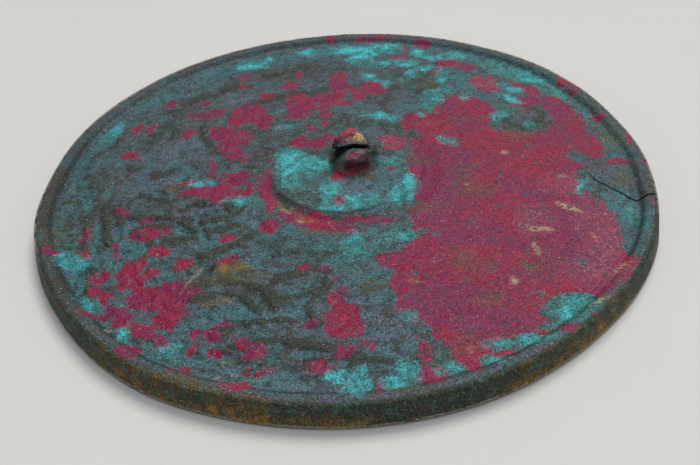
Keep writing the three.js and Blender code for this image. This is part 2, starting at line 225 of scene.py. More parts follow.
@dataclass(frozen=True)
class WornRelief:
    """What is left of the curls and tails cast on the field, mostly on its left and near sides."""

    height: float = 0.42
    line_height: float = 0.24
    strokes: tuple[Stroke, ...] = (
        Stroke(1, ((-0.81, -0.17), (-0.79, -0.11), (-0.73, -0.13), (-0.68, -0.18), (-0.56, -0.19))),
        Stroke(1, ((-0.56, -0.19), (-0.52, -0.22), (-0.46, -0.26), (-0.39, -0.27), (-0.34, -0.25))),
        Stroke(0.9, ((-0.76, -0.13), (-0.74, -0.23), (-0.72, -0.31)), 1.6),
        Stroke(0.8, ((-0.71, -0.15), (-0.7, -0.21), (-0.68, -0.27)), 1.4),
        Stroke(0.9, ((-0.68, -0.27), (-0.62, -0.24), (-0.55, -0.23)), 1.5),
        Stroke(0.9, ((-0.51, -0.16), (-0.46, -0.12), (-0.38, -0.14), (-0.36, -0.19)), 1.5),
        Stroke(0.8, ((-0.5, -0.2), (-0.44, -0.225), (-0.37, -0.21)), 1.5),
        Stroke(-1.2, ((-0.48, -0.165), (-0.44, -0.185), (-0.4, -0.17)), 0.8),
        Stroke(0.8, ((-0.37, -0.15), (-0.34, -0.11), (-0.31, -0.12), (-0.32, -0.17), (-0.36, -0.22)), 1.3),
        Stroke(0.9, ((-0.57, -0.34), (-0.52, -0.31), (-0.45, -0.29), (-0.39, -0.3)), 1.6),
        Stroke(0.9, ((-0.46, -0.4), (-0.37, -0.36), (-0.29, -0.31)), 1.8),
        Stroke(0.7, ((-0.34, -0.42), (-0.24, -0.38), (-0.14, -0.4)), 1.6),
        Stroke(1, ((-0.24, -0.55), (-0.19, -0.5), (-0.12, -0.48), (-0.07, -0.5), (-0.07, -0.56))),
        Stroke(1, ((-0.46, -0.52), (-0.35, -0.5), (-0.29, -0.52), (-0.23, -0.57), (-0.21, -0.62)), 1.6),
        Stroke(0.8, ((-0.45, -0.57), (-0.37, -0.55), (-0.3, -0.58), (-0.24, -0.66)), 1.3),
        Stroke(0.9, ((-0.2, -0.59), (-0.13, -0.58), (-0.07, -0.56)), 1.3),
        Stroke(0.8, ((-0.08, -0.57), (-0.12, -0.62), (-0.1, -0.69)), 1.4),
        Stroke(0.9, ((-0.37, -0.71), (-0.3, -0.68), (-0.2, -0.67), (-0.09, -0.7)), 1.8),
        Stroke(0.8, ((-0.34, -0.77), (-0.25, -0.75), (-0.15, -0.76), (-0.04, -0.8)), 1.7),
        Stroke(0.7, ((-0.12, -0.83), (0.0, -0.82), (0.1, -0.85)), 1.6),
        Stroke(-0.9, ((-0.68, -0.2), (-0.55, -0.21), (-0.47, -0.285), (-0.38, -0.3)), 1.2),
        Stroke(0.9, ((-0.8, -0.22), (-0.79, -0.32), (-0.75, -0.42)), 1.5),
        Stroke(-0.8, ((-0.77, -0.2), (-0.755, -0.34), (-0.7, -0.48)), 1.1),
        Stroke(0.8, ((-0.75, -0.5), (-0.71, -0.57), (-0.64, -0.6)), 1.4),
        Stroke(0.8, ((-0.63, -0.27), (-0.58, -0.33), (-0.62, -0.39)), 1.4),
        Stroke(-1.1, ((-0.61, -0.055), (-0.57, -0.075), (-0.555, -0.1)), 0.7),
        Stroke(0.6, ((-0.66, -0.06), (-0.58, -0.1), (-0.5, -0.09)), 1.5),
        Stroke(0.6, ((-0.3, 0.47), (-0.16, 0.53), (0.0, 0.47)), 2.2),
        Stroke(0.6, ((0.3, 0.47), (0.42, 0.56), (0.4, 0.68)), 2.2),
        Stroke(0.5, ((-0.62, 0.45), (-0.5, 0.55), (-0.36, 0.62)), 2.4),
        Stroke(0.5, ((-0.72, 0.1), (-0.62, 0.05), (-0.5, 0.08)), 2.2),
        Stroke(0.5, ((-0.5, 0.33), (-0.44, 0.18), (-0.36, 0.1)), 2.2),
        Stroke(0.5, ((0.55, 0.3), (0.62, 0.2), (0.72, 0.26), (0.68, 0.33)), 1.8),
    )
    flow: LatticeNoise = LatticeNoise(11)

    def heights(self, places: np.ndarray, radius: float) -> np.ndarray:
        """Gives the relief's height above the plain field.

        Args:
            places: Points on the field in millimetres, X and Y.
            radius: The mirror's radius in millimetres.

        Returns:
            One height in millimetres for each place.
        """
        ridge = np.zeros(len(places))
        groove = np.zeros(len(places))
        for stroke in self.strokes:
            line = stroke.line(radius)
            low, high = line.min(0) - 3 * stroke.width, line.max(0) + 3 * stroke.width
            near = np.flatnonzero(np.all((places > low) & (places < high), axis=1))
            away = np.full(len(near), np.inf)
            for start, end in zip(line, line[1:]):
                along = end - start
                share = np.clip((places[near] - start) @ along / (along @ along), 0, 1)
                foot = start + share[:, None] * along
                away = np.minimum(away, np.linalg.norm(places[near] - foot, axis=1))
            rise = 1.15 * stroke.height * np.exp(-((away / (stroke.width * 0.46)) ** 2))
            ridge[near] = np.maximum(ridge[near], rise)
            groove[near] = np.minimum(groove[near], rise)
        return self.height * (ridge + groove) + self.flow_lines(places, radius)

    def flow_lines(self, places: np.ndarray, radius: float) -> np.ndarray:
        """Gives the faint melted lines that run round the field, clearest on its left and near side.

        Args:
            places: Points on the field in millimetres, X and Y.
            radius: The mirror's radius in millimetres.

        Returns:
            One height in millimetres for each place.
        """
        flat = np.column_stack([places, np.zeros(len(places))])
        bend = np.column_stack([self.flow.layered(flat + shift, 8.0, 2) for shift in (0, 50, 90)])
        x, y = (places / radius).T
        reach = np.hypot(x, y)
        turned = np.column_stack([reach * radius, np.arctan2(y, x) * radius * 0.2, 0 * x])
        lines = 1 - 2.4 * np.abs(self.flow.layered(turned + 2.2 * bend, 2.5, 2))
        left = smoothstep(0.2, -0.2, x) * smoothstep(0.4, -0.05, y)
        near = smoothstep(0.35, 0.1, x) * smoothstep(-0.25, -0.45, y)
        far = 0.55 * smoothstep(0.05, 0.3, y) * smoothstep(0.85, 0.5, x)
        strength = np.maximum(np.maximum(left, near), np.maximum(far, 0.2))
        return self.line_height * (lines - 0.4) * strength


@dataclass(frozen=True)
class Swell:
    """A place where the outline stands out of, or in from, a true circle."""

    degrees: float
    spread: float
    out: float


@dataclass(frozen=True)
class Disc:
    """The round body of the mirror: field, rim, platform and the ring around it, in millimetres."""

    radius: float = 60.0
    rim_height: float = 4.6
    crest_width: float = 2.3
    crest_camber: float = 0.12
    side_lean: float = 0.8
    inner_slope_run: float = 0.9
    face_rounding: float = 0.45
    field_height: float = 3.7
    groove_width: float = 1.1
    groove_depth: float = 0.2
    platform_radius: float = 14.6
    platform_rise: float = 0.55
    platform_crown: float = 0.3
    platform_edge_run: float = 0.9
    platform_wander: float = 0.35
    platform_offset: float = 0.6
    trough_width: float = 2.4
    trough_depth: float = 0.17
    ring_width: float = 2.8
    ring_rise: float = 0.15
    section_step: float = 0.04
    edge_softness: float = 0.2
    rim_softness: float = 0.55
    rim_softening_reach: float = 1.2
    first_step: float = 0.45
    field_step: float = 0.46
    field_spacing: float = 0.48
    rim_step: float = 0.3
    rim_spacing: float = 0.52
    face_step: float = 1.6
    face_spacing: float = 1.9
    broad_unevenness: float = 0.07
    fine_unevenness: float = 0.035
    pit_depth: float = 0.1
    relief: WornRelief = WornRelief()
    unevenness: LatticeNoise = LatticeNoise(23)
    swells: tuple[Swell, ...] = (
        Swell(-124, 13, 0.6),
        Swell(-24, 10, 0.45),
        Swell(-54, 11, -0.3),
        Swell(12, 9, -0.45),
        Swell(41, 12, 0.35),
        Swell(100, 16, -0.35),
        Swell(174, 10, -0.35),
        Swell(-169, 8, 0.3),
    )

    @property
    def crest_outer(self) -> float:
        """Radius of the rim's outer edge on top."""
        return self.radius - self.side_lean

    @property
    def crest_inner(self) -> float:
        """Radius of the rim's inner edge on top."""
        return self.crest_outer - self.crest_width

    @property
    def field_outer(self) -> float:
        """Radius at which the field meets the groove inside the rim."""
        return self.crest_inner - self.inner_slope_run - self.groove_width

    @property
    def trough_inner(self) -> float:
        """Radius of the platform's foot."""
        return self.platform_radius + self.platform_edge_run

    @property
    def field_inner(self) -> float:
        """Radius at which the field starts, outside the low ring."""
        return self.trough_inner + self.trough_width + self.ring_width

    @property
    def foot_height(self) -> float:
        """Height of the platform under the knob."""
        return self.field_height + self.platform_rise + self.platform_crown

    def section(self) -> np.ndarray:
        """Gives the disc's section from the middle of the back round to the reflecting face.

        Returns:
            Radius and height in millimetres at close steps, with softened corners.
        """
        ring_inner = self.trough_inner + self.trough_width
        groove_middle = self.field_outer + self.groove_width / 2
        corners = [(self.platform_radius * share, self.foot_height - self.platform_crown * share**2)
                   for share in (0, 0.2, 0.42, 0.62, 0.8, 0.93)]
        corners += [
            (self.platform_radius, self.field_height + self.platform_rise * 0.88),
            (self.trough_inner, self.field_height - self.trough_depth * 0.6),
            (self.trough_inner + self.trough_width * 0.45, self.field_height - self.trough_depth),
            (ring_inner, self.field_height),
            (ring_inner + self.ring_width * 0.3, self.field_height + self.ring_rise * 0.85),
            (ring_inner + self.ring_width * 0.55, self.field_height + self.ring_rise),
            (self.field_inner, self.field_height),
            (self.field_outer, self.field_height),
            (groove_middle, self.field_height - self.groove_depth),
            (self.field_outer + self.groove_width, self.field_height),
            (self.crest_inner, self.rim_height - self.crest_camber),
            (self.crest_inner + self.crest_width / 2, self.rim_height),
            (self.crest_outer, self.rim_height - self.crest_camber),
            (self.radius, self.face_rounding),
            (self.radius - self.face_rounding * 0.3, self.face_rounding * 0.3),
            (self.radius - self.face_rounding, 0),
        ]
        points = np.array(corners)
        walked = walked_along(points)
        at = np.arange(0, walked[-1], self.section_step)
        close = points_along(points, at)
        soft = self.blurred(close, self.edge_softness)
        rounded = self.blurred(close, self.rim_softness)
        middle_of_crest = walked[-5]
        on_crest = np.exp(-(((at - middle_of_crest) / self.rim_softening_reach) ** 2))[:, None]
        return soft + (rounded - soft) * on_crest

    def blurred(self, section: np.ndarray, softness: float) -> np.ndarray:
        """Softens the corners of a section, all but its ends.

        Args:
            section: Radius and height at equal steps.
            softness: About how far a corner is spread, in millimetres.

        Returns:
            The softened section.
        """
        reach = round(2.2 * softness / self.section_step)
        weights = np.exp(-((np.arange(-reach, reach + 1) * self.section_step / softness) ** 2))
        weights /= weights.sum()
        padded = np.vstack([2 * section[0] - section[reach:0:-1], section,
                            2 * section[-1] - section[-2:-reach - 2:-1]])
        return np.column_stack([np.convolve(padded[:, k], weights, "valid") for k in (0, 1)])

    def swell_at(self, angles: np.ndarray) -> np.ndarray:
        """Gives how far the outline stands out of a true circle.

        Args:
            angles: Directions in radians.

        Returns:
            Millimetres outwards for each direction.
        """
        out = np.zeros(len(angles))
        for swell in self.swells:
            away = np.abs((np.degrees(angles) - swell.degrees + 180) % 360 - 180)
            out += swell.out * np.exp(-((away / swell.spread) ** 2))
        return out

    def ring(self, radius: float, angles: np.ndarray) -> np.ndarray:
        """Places a ring of vertices: the rim follows the uneven outline, the middle the platform.

        Args:
            radius: The ring's radius in millimetres before the outline's swells.
            angles: Directions of its vertices in radians.

        Returns:
            X and Y in millimetres, one row for each direction.
        """
        towards_edge = float(smoothstep(self.field_inner, self.crest_inner, np.array(radius)))
        wander = np.sin(3 * angles + 0.6) + 0.6 * np.sin(5 * angles + 2.1)
        at_platform_edge = math.exp(-(((radius - self.platform_radius) / self.trough_width) ** 2))
        reach = (radius + self.swell_at(angles) * towards_edge
                 + self.platform_wander * wander * at_platform_edge)
        offset = self.platform_offset * (1 - towards_edge)
        return np.column_stack([reach * np.cos(angles) + offset, reach * np.sin(angles)])

    def surface_noise(self, points: np.ndarray) -> np.ndarray:
        """Gives the casting's small unevenness on the back, in millimetres.

        Args:
            points: Places, one row of three numbers in millimetres each.

        Returns:
            One height for each place.
        """
        broad = self.broad_unevenness * self.unevenness.layered(points, 11.0, 2)
        fine = self.fine_unevenness * self.unevenness.layered(points + 40, 2.2, 3)
        pits = self.unevenness.sample(points + 80, 1.3)
        return broad + fine - self.pit_depth * smoothstep(0.62, 0.95, pits)

    def spaced(self, radius: float, spacing: float) -> np.ndarray:
        """Gives directions round a ring whose vertices are about the given spacing apart."""
        return directions(max(16, 4 * round(2 * math.pi * radius / spacing / 4)))

    def cast_ring(self, radius: float, height: float, angles: np.ndarray) -> np.ndarray:
        """Places a ring of vertices with the relief and the casting's unevenness.

        Args:
            radius: The ring's radius in millimetres.
            height: The section's height there in millimetres.
            angles: Directions of its vertices in radians.

        Returns:
            The vertices in millimetres.
        """
        places = self.ring(radius, angles)
        heights = np.full(len(angles), height)
        noise = self.surface_noise(np.column_stack([places, heights]))
        if height > self.field_height - 2 * self.groove_depth:
            carved = smoothstep(self.field_inner - 1, self.field_inner + 2, np.array(radius))
            carved = carved * smoothstep(self.field_outer + 1, self.field_outer - 1, np.array(radius))
            heights += carved * self.relief.heights(places, self.radius)
            heights += noise
        elif height > self.face_rounding:
            outward = places / np.linalg.norm(places, axis=1)[:, None]
            places = places + outward * (1.6 * noise)[:, None]
        return np.column_stack([places, heights])

    def build(self) -> bpy.types.Object:
        """Makes the disc as one closed fine mesh, ring by ring from the middle of the back.

        Returns:
            The disc's object.
        """
        points = [np.array([[self.platform_offset, 0, self.foot_height]])]
        section = self.section()
        walked = walked_along(section)
        at = self.first_step
        while at < walked[-1]:
            radius, height = (float(np.interp(at, walked, section[:, k])) for k in (0, 1))
            on_rim = radius > self.field_outer
            angles = self.spaced(radius, self.rim_spacing if on_rim else self.field_spacing)
            points.append(self.cast_ring(radius, height, angles))
            at += self.rim_step if on_rim else self.field_step
        for radius in np.arange(self.radius - self.face_rounding - 0.2, 2, -self.face_step):
            places = self.ring(radius, self.spaced(radius, self.face_spacing))
            points.append(np.column_stack([places, np.zeros(len(places))]))
        starts = np.cumsum([len(ring) for ring in points]).tolist()
        rings = [range(start, end) for start, end in zip(starts, starts[1:])]
        points.append(np.zeros((1, 3)))
        first, last = rings[0], rings[-1]
        faces = [(0, a, b) for a, b in zip(first, [*first[1:], first[0]])]
        for inner, outer in zip(rings, rings[1:]):
            faces += stitched(inner, outer)
        faces += [(last.stop, b, a) for a, b in zip(last, [*last[1:], last[0]])]
        return mesh_object("disc", np.vstack(points), faces)


@dataclass(frozen=True)
class Knob:
    """The pierced knob and what is broken from it, in millimetres above the platform."""

    foot_height: float
    field_height: float
    centre_x: float = 2.35
    centre_y: float = 2.35
    width: float = 8.0
    depth: float = 9.2
    height: float = 6.5
    lean: float = 0.75
    foot_flare: float = 1.1
    foot_flare_height: float = 1.6
    flank_fullness: float = 0.8
    top_fullness: float = 0.92
    coarse_roughness: float = 0.3
    fine_roughness: float = 0.12
    hole_diameter: float = 3.0
    hole_mouth_flare: float = 0.55
    hole_height: float = 1.5
    hole_back_offset: float = 0.7
    hole_sag: float = 0.9
    hole_roughness: float = 0.14
    break_front_offset: float = 2.3
    break_width: float = 0.9
    near_stub_height: float = 4.4
    near_stub_slope: float = 0.48
    near_stub_arch: float = 0.7
    near_stub_left_fall: float = 3.0
    near_stub_least_height: float = 0.9
    far_stub_slope: float = 1.05
    far_stub_arch: float = 0.4
    break_roughness_down: float = 0.3
    break_roughness_along: float = 0.15
    roughness: LatticeNoise = LatticeNoise(37)

    def dome(self) -> bpy.types.Object:
        """Makes the whole dome on its flared foot, rooted in the disc.

        Returns:
            The closed dome.
        """
        angles = directions(96)
        levels = [(1.0, -self.field_height / 2, self.foot_flare), (1.0, -0.15, self.foot_flare)]
        for share in np.linspace(0.1, 1, 6):
            flare = self.foot_flare * (1 - share) ** 2
            levels.append((1.0, self.foot_flare_height * share, flare))
        rise = self.height - self.foot_flare_height
        for turn in np.linspace(0, math.pi / 2, 27)[1:-1]:
            levels.append((math.cos(turn) ** self.flank_fullness,
                           self.foot_flare_height + rise * math.sin(turn) ** self.top_fullness, 0.0))
        sections = np.empty((len(levels), len(angles), 3))
        for row, (share, height, flare) in enumerate(levels):
            middle = self.centre_x - self.lean * max(0.0, height / self.height)
            sections[row, :, 0] = middle + (self.width / 2 * share + flare) * np.cos(angles)
            sections[row, :, 1] = self.centre_y + (self.depth / 2 * share + flare) * np.sin(angles)
            sections[row, :, 2] = self.foot_height + height
        flat = sections.reshape(-1, 3)
        centre = np.array([self.centre_x, self.centre_y, self.foot_height + 2])
        outward = flat - centre
        outward /= np.linalg.norm(outward, axis=1)[:, None]
        rough = self.coarse_roughness * self.roughness.layered(flat, 3.2, 3)
        rough += self.fine_roughness * self.roughness.layered(flat, 0.9, 2)
        free = smoothstep(self.foot_height - 0.1, self.foot_height + 0.6, flat[:, 2])
        moved = flat + outward * (rough * free)[:, None]
        return body_through_sections("knob_dome", moved.reshape(sections.shape))

    def cord_hole(self) -> bpy.types.Object:
        """Makes the cutter of the cord hole, which sags in its middle and flares at its mouths.

        Returns:
            The closed cutter.
        """
        angles = directions(48)
        shares = np.linspace(-1, 1, 49)
        reach = self.width / 2 + 2.4 * self.foot_flare
        sections = np.empty((len(shares), len(angles), 3))
        for row, share in enumerate(shares):
            radius = self.hole_diameter / 2 + self.hole_mouth_flare * share**2
            middle = self.foot_height + self.hole_height + self.hole_sag * share**2
            sections[row, :, 0] = self.centre_x + reach * share
            sections[row, :, 1] = self.centre_y + self.hole_back_offset + radius * np.cos(angles)
            sections[row, :, 2] = middle + radius * np.sin(angles)
        flat = sections.reshape(-1, 3)
        flat[:, 1:] += self.hole_roughness * np.column_stack([
            self.roughness.layered(flat + 20, 1.4, 2), self.roughness.layered(flat + 30, 1.4, 2)])
        return body_through_sections("cord_hole", sections)

    def lost_bridge(self) -> bpy.types.Object:
        """Makes the cutter of what is broken away, with the open crack down to the cord hole.

        Returns:
            The closed cutter.
        """
        crack_front = self.centre_y - self.break_front_offset
        front = self.centre_y - self.depth / 2 - self.foot_flare
        near_top = self.foot_height + self.near_stub_height
        near_front = near_top - (crack_front - front) * self.near_stub_slope
        near_least = self.foot_height + self.near_stub_least_height
        step = self.break_width * math.sqrt(0.5)
        down = self.centre_y + self.hole_back_offset - crack_front - step / 2
        above = self.foot_height + self.height + 2 * self.far_stub_arch
        far_top = near_top + step
        half = self.width / 2 + self.foot_flare
        sections = []
        for share in np.linspace(-1, 1, 45):
            to_left = float(smoothstep(0.2, 0.8, np.array(-share)))
            near_fall = self.near_stub_arch * share**2 + self.near_stub_left_fall * to_left
            far_fall = self.far_stub_arch * share**2
            corners = np.array([
                (crack_front, max(near_top - near_fall, near_least)),
                (crack_front + down, near_top - down - far_fall),
                (crack_front + down + step, near_top - down + step - far_fall),
                (crack_front + step, far_top - far_fall),
                (crack_front + step + (above - far_top) / self.far_stub_slope, above),
                (front, above),
                (front, max(near_front - near_fall, near_least)),
            ])
            outline = self.divided(corners)
            across = np.full(len(outline), self.centre_x + half * share)
            sections.append(np.column_stack([across, outline]))
        cutter = np.array(sections)
        flat = cutter.reshape(-1, 3)
        flat[:, 2] += self.break_roughness_down * self.roughness.layered(flat + 60, 1.6, 3)
        flat[:, 1] += self.break_roughness_along * self.roughness.layered(flat + 70, 1.2, 2)
        return body_through_sections("lost_bridge", cutter)

    def divided(self, corners: np.ndarray) -> np.ndarray:
        """Puts close points along the closed outline through the corners, the same count each time.

        Args:
            corners: Seven corners in order, one row each.

        Returns:
            Points along the outline, one row each.
        """
        pieces = (16, 4, 12, 14, 18, 12, 16)
        outline = []
        for start, end, count in zip(corners, np.roll(corners, -1, axis=0), pieces):
            outline.append(start + (end - start) * np.arange(count)[:, None] / count)
        return np.vstack(outline)


@dataclass(frozen=True)
class RimCrack:
    """The crack that wanders in from the right-hand rim, as a cutter that narrows downwards."""

    radius: float
    top: float
    bottom: float
    width: float = 0.42
    step: float = 0.4
    jitter: float = 0.09
    path: tuple[tuple[float, float, float], ...] = (
        (0.765, -0.055, 0.12), (0.785, -0.09, 0.35), (0.8, -0.135, 0.65), (0.82, -0.165, 0.8),
        (0.842, -0.192, 0.9), (0.865, -0.222, 1.0), (0.878, -0.245, 1.1), (0.892, -0.257, 1.1),
        (0.912, -0.252, 0.9), (0.945, -0.246, 0.8), (0.97, -0.252, 0.7), (1.04, -0.257, 0.8),
    )

    def build(self) -> bpy.types.Object:
        """Makes the cutter's object.

        Returns:
            The closed cutter.
        """
        spine = np.array([point[:2] for point in self.path]) * self.radius
        shares = np.array([point[2] for point in self.path])
        walked = walked_along(spine)
        at = np.arange(0, walked[-1], self.step)
        line = points_along(spine, at)
        line += np.random.default_rng(5).uniform(-self.jitter, self.jitter, (len(at), 2))
        side = np.gradient(line, axis=0)[:, ::-1] * (-1, 1)
        side /= np.linalg.norm(side, axis=1)[:, None]
        half = np.interp(at, walked, shares)[:, None] * self.width
        sections = np.empty((len(at), 3, 3))
        sections[:, 0] = np.column_stack([line, np.full(len(at), self.bottom)])
        sections[:, 1] = np.column_stack([line + side * half, np.full(len(at), self.top)])
        sections[:, 2] = np.column_stack([line - side * half, np.full(len(at), self.top)])
        return body_through_sections("rim_crack", sections)


class Join(Enum):
    """How one body is worked into another."""

    ADD = "UNION"
    CUT = "DIFFERENCE"


def joined(base: bpy.types.Object, other: bpy.types.Object, join: Join) -> bpy.types.Object:
    """Adds or cuts a closed body, then deletes it.

    Args:
        base: The body that is kept.
        other: The body that is added to it or cut out of it.
        join: Whether to add or cut.

    Returns:
        The base object with its new mesh.
    """
    modifier = base.modifiers.new("join", "BOOLEAN")
    modifier.operation = join.value
    modifier.solver = "MANIFOLD"
    modifier.object = other
    evaluated = base.evaluated_get(bpy.context.evaluated_depsgraph_get())
    mesh = bpy.data.meshes.new_from_object(evaluated)
    base.modifiers.clear()
    old = base.data
    base.data = mesh
    bpy.data.meshes.remove(old)
    bpy.data.objects.remove(other)
    return base


@dataclass(frozen=True)
class Patch:
    """An oval of patina, placed and sized in shares of the mirror's radius, turned in degrees."""

    x: float
    y: float
    across: float
    along: float
    turn: float = 0.0

    def depth(self, places: np.ndarray) -> np.ndarray:
        """Gives about how far inside the oval each place is, as a share of the radius.

        Args:
            places: X and Y as shares of the mirror's radius, one row each.

        Returns:
            One depth for each place, negative outside the oval.
        """
        turn = math.radians(self.turn)
        dx, dy = (places - (self.x, self.y)).T
        u = (dx * math.cos(turn) + dy * math.sin(turn)) / self.across
        v = (dy * math.cos(turn) - dx * math.sin(turn)) / self.along
        return (1 - np.hypot(u, v)) * min(self.across, self.along)


def patches(*rows: tuple[float, ...]) -> tuple[Patch, ...]:
    """Makes a patch of each row of numbers."""
    return tuple(Patch(*row) for row in rows)


def arc(reach: float, start: float, end: float, half_width: float) -> tuple[Patch, ...]:
    """Makes a row of patches along a circle round the mirror's middle.

    Args:
        reach: The circle's radius as a share of the mirror's.
        start: Direction of the first patch in degrees.
        end: Direction of the last patch in degrees.
        half_width: Half of the row's width as a share of the mirror's radius.

    Returns:
        The patches, each longer along the circle than across it.
    """
    count = max(2, round(math.radians(end - start) * reach / (2 * half_width)))
    turns = np.linspace(start, end, count)
    return tuple(
        Patch(reach * math.cos(math.radians(turn)), reach * math.sin(math.radians(turn)),
              half_width, 2 * half_width, float(turn))
        for turn in turns)


@dataclass(frozen=True)
class PatinaLayer:
    """Patches of one colour with wandering edges, kept on the mesh as a soft field; a few are painted sheen
    or shade.

    The field is 0.5 at the edge of a patch, 1 well inside it and 0 well outside.
    """

    name: str
    shown: tuple[Patch, ...]
    spared: tuple[Patch, ...] = ()
    edge: float = 0.022
    wander: float = 0.016
    noise: LatticeNoise = LatticeNoise(51)

    def field(self, points: np.ndarray, radius: float) -> np.ndarray:
        """Works out the field.

        Args:
            points: Vertices in millimetres.
            radius: The mirror's radius in millimetres.

        Returns:
            One value from 0 to 1 for each vertex.
        """
        octaves = ((7.0, 1.0), (2.6, 0.7), (1.2, 0.4))
        shifts = [sum(strength * self.noise.sample(points + start, size) for size, strength in octaves)
                  for start in (17, 34)]
        warp = self.wander * np.column_stack(shifts)
        places = points[:, :2] / radius + warp
        depth = np.full(len(points), -1.0)
        for patch in self.shown:
            depth = np.maximum(depth, patch.depth(places))
        for patch in self.spared:
            depth = np.minimum(depth, -patch.depth(places))
        return np.clip(0.5 + depth / (2 * self.edge), 0, 1)


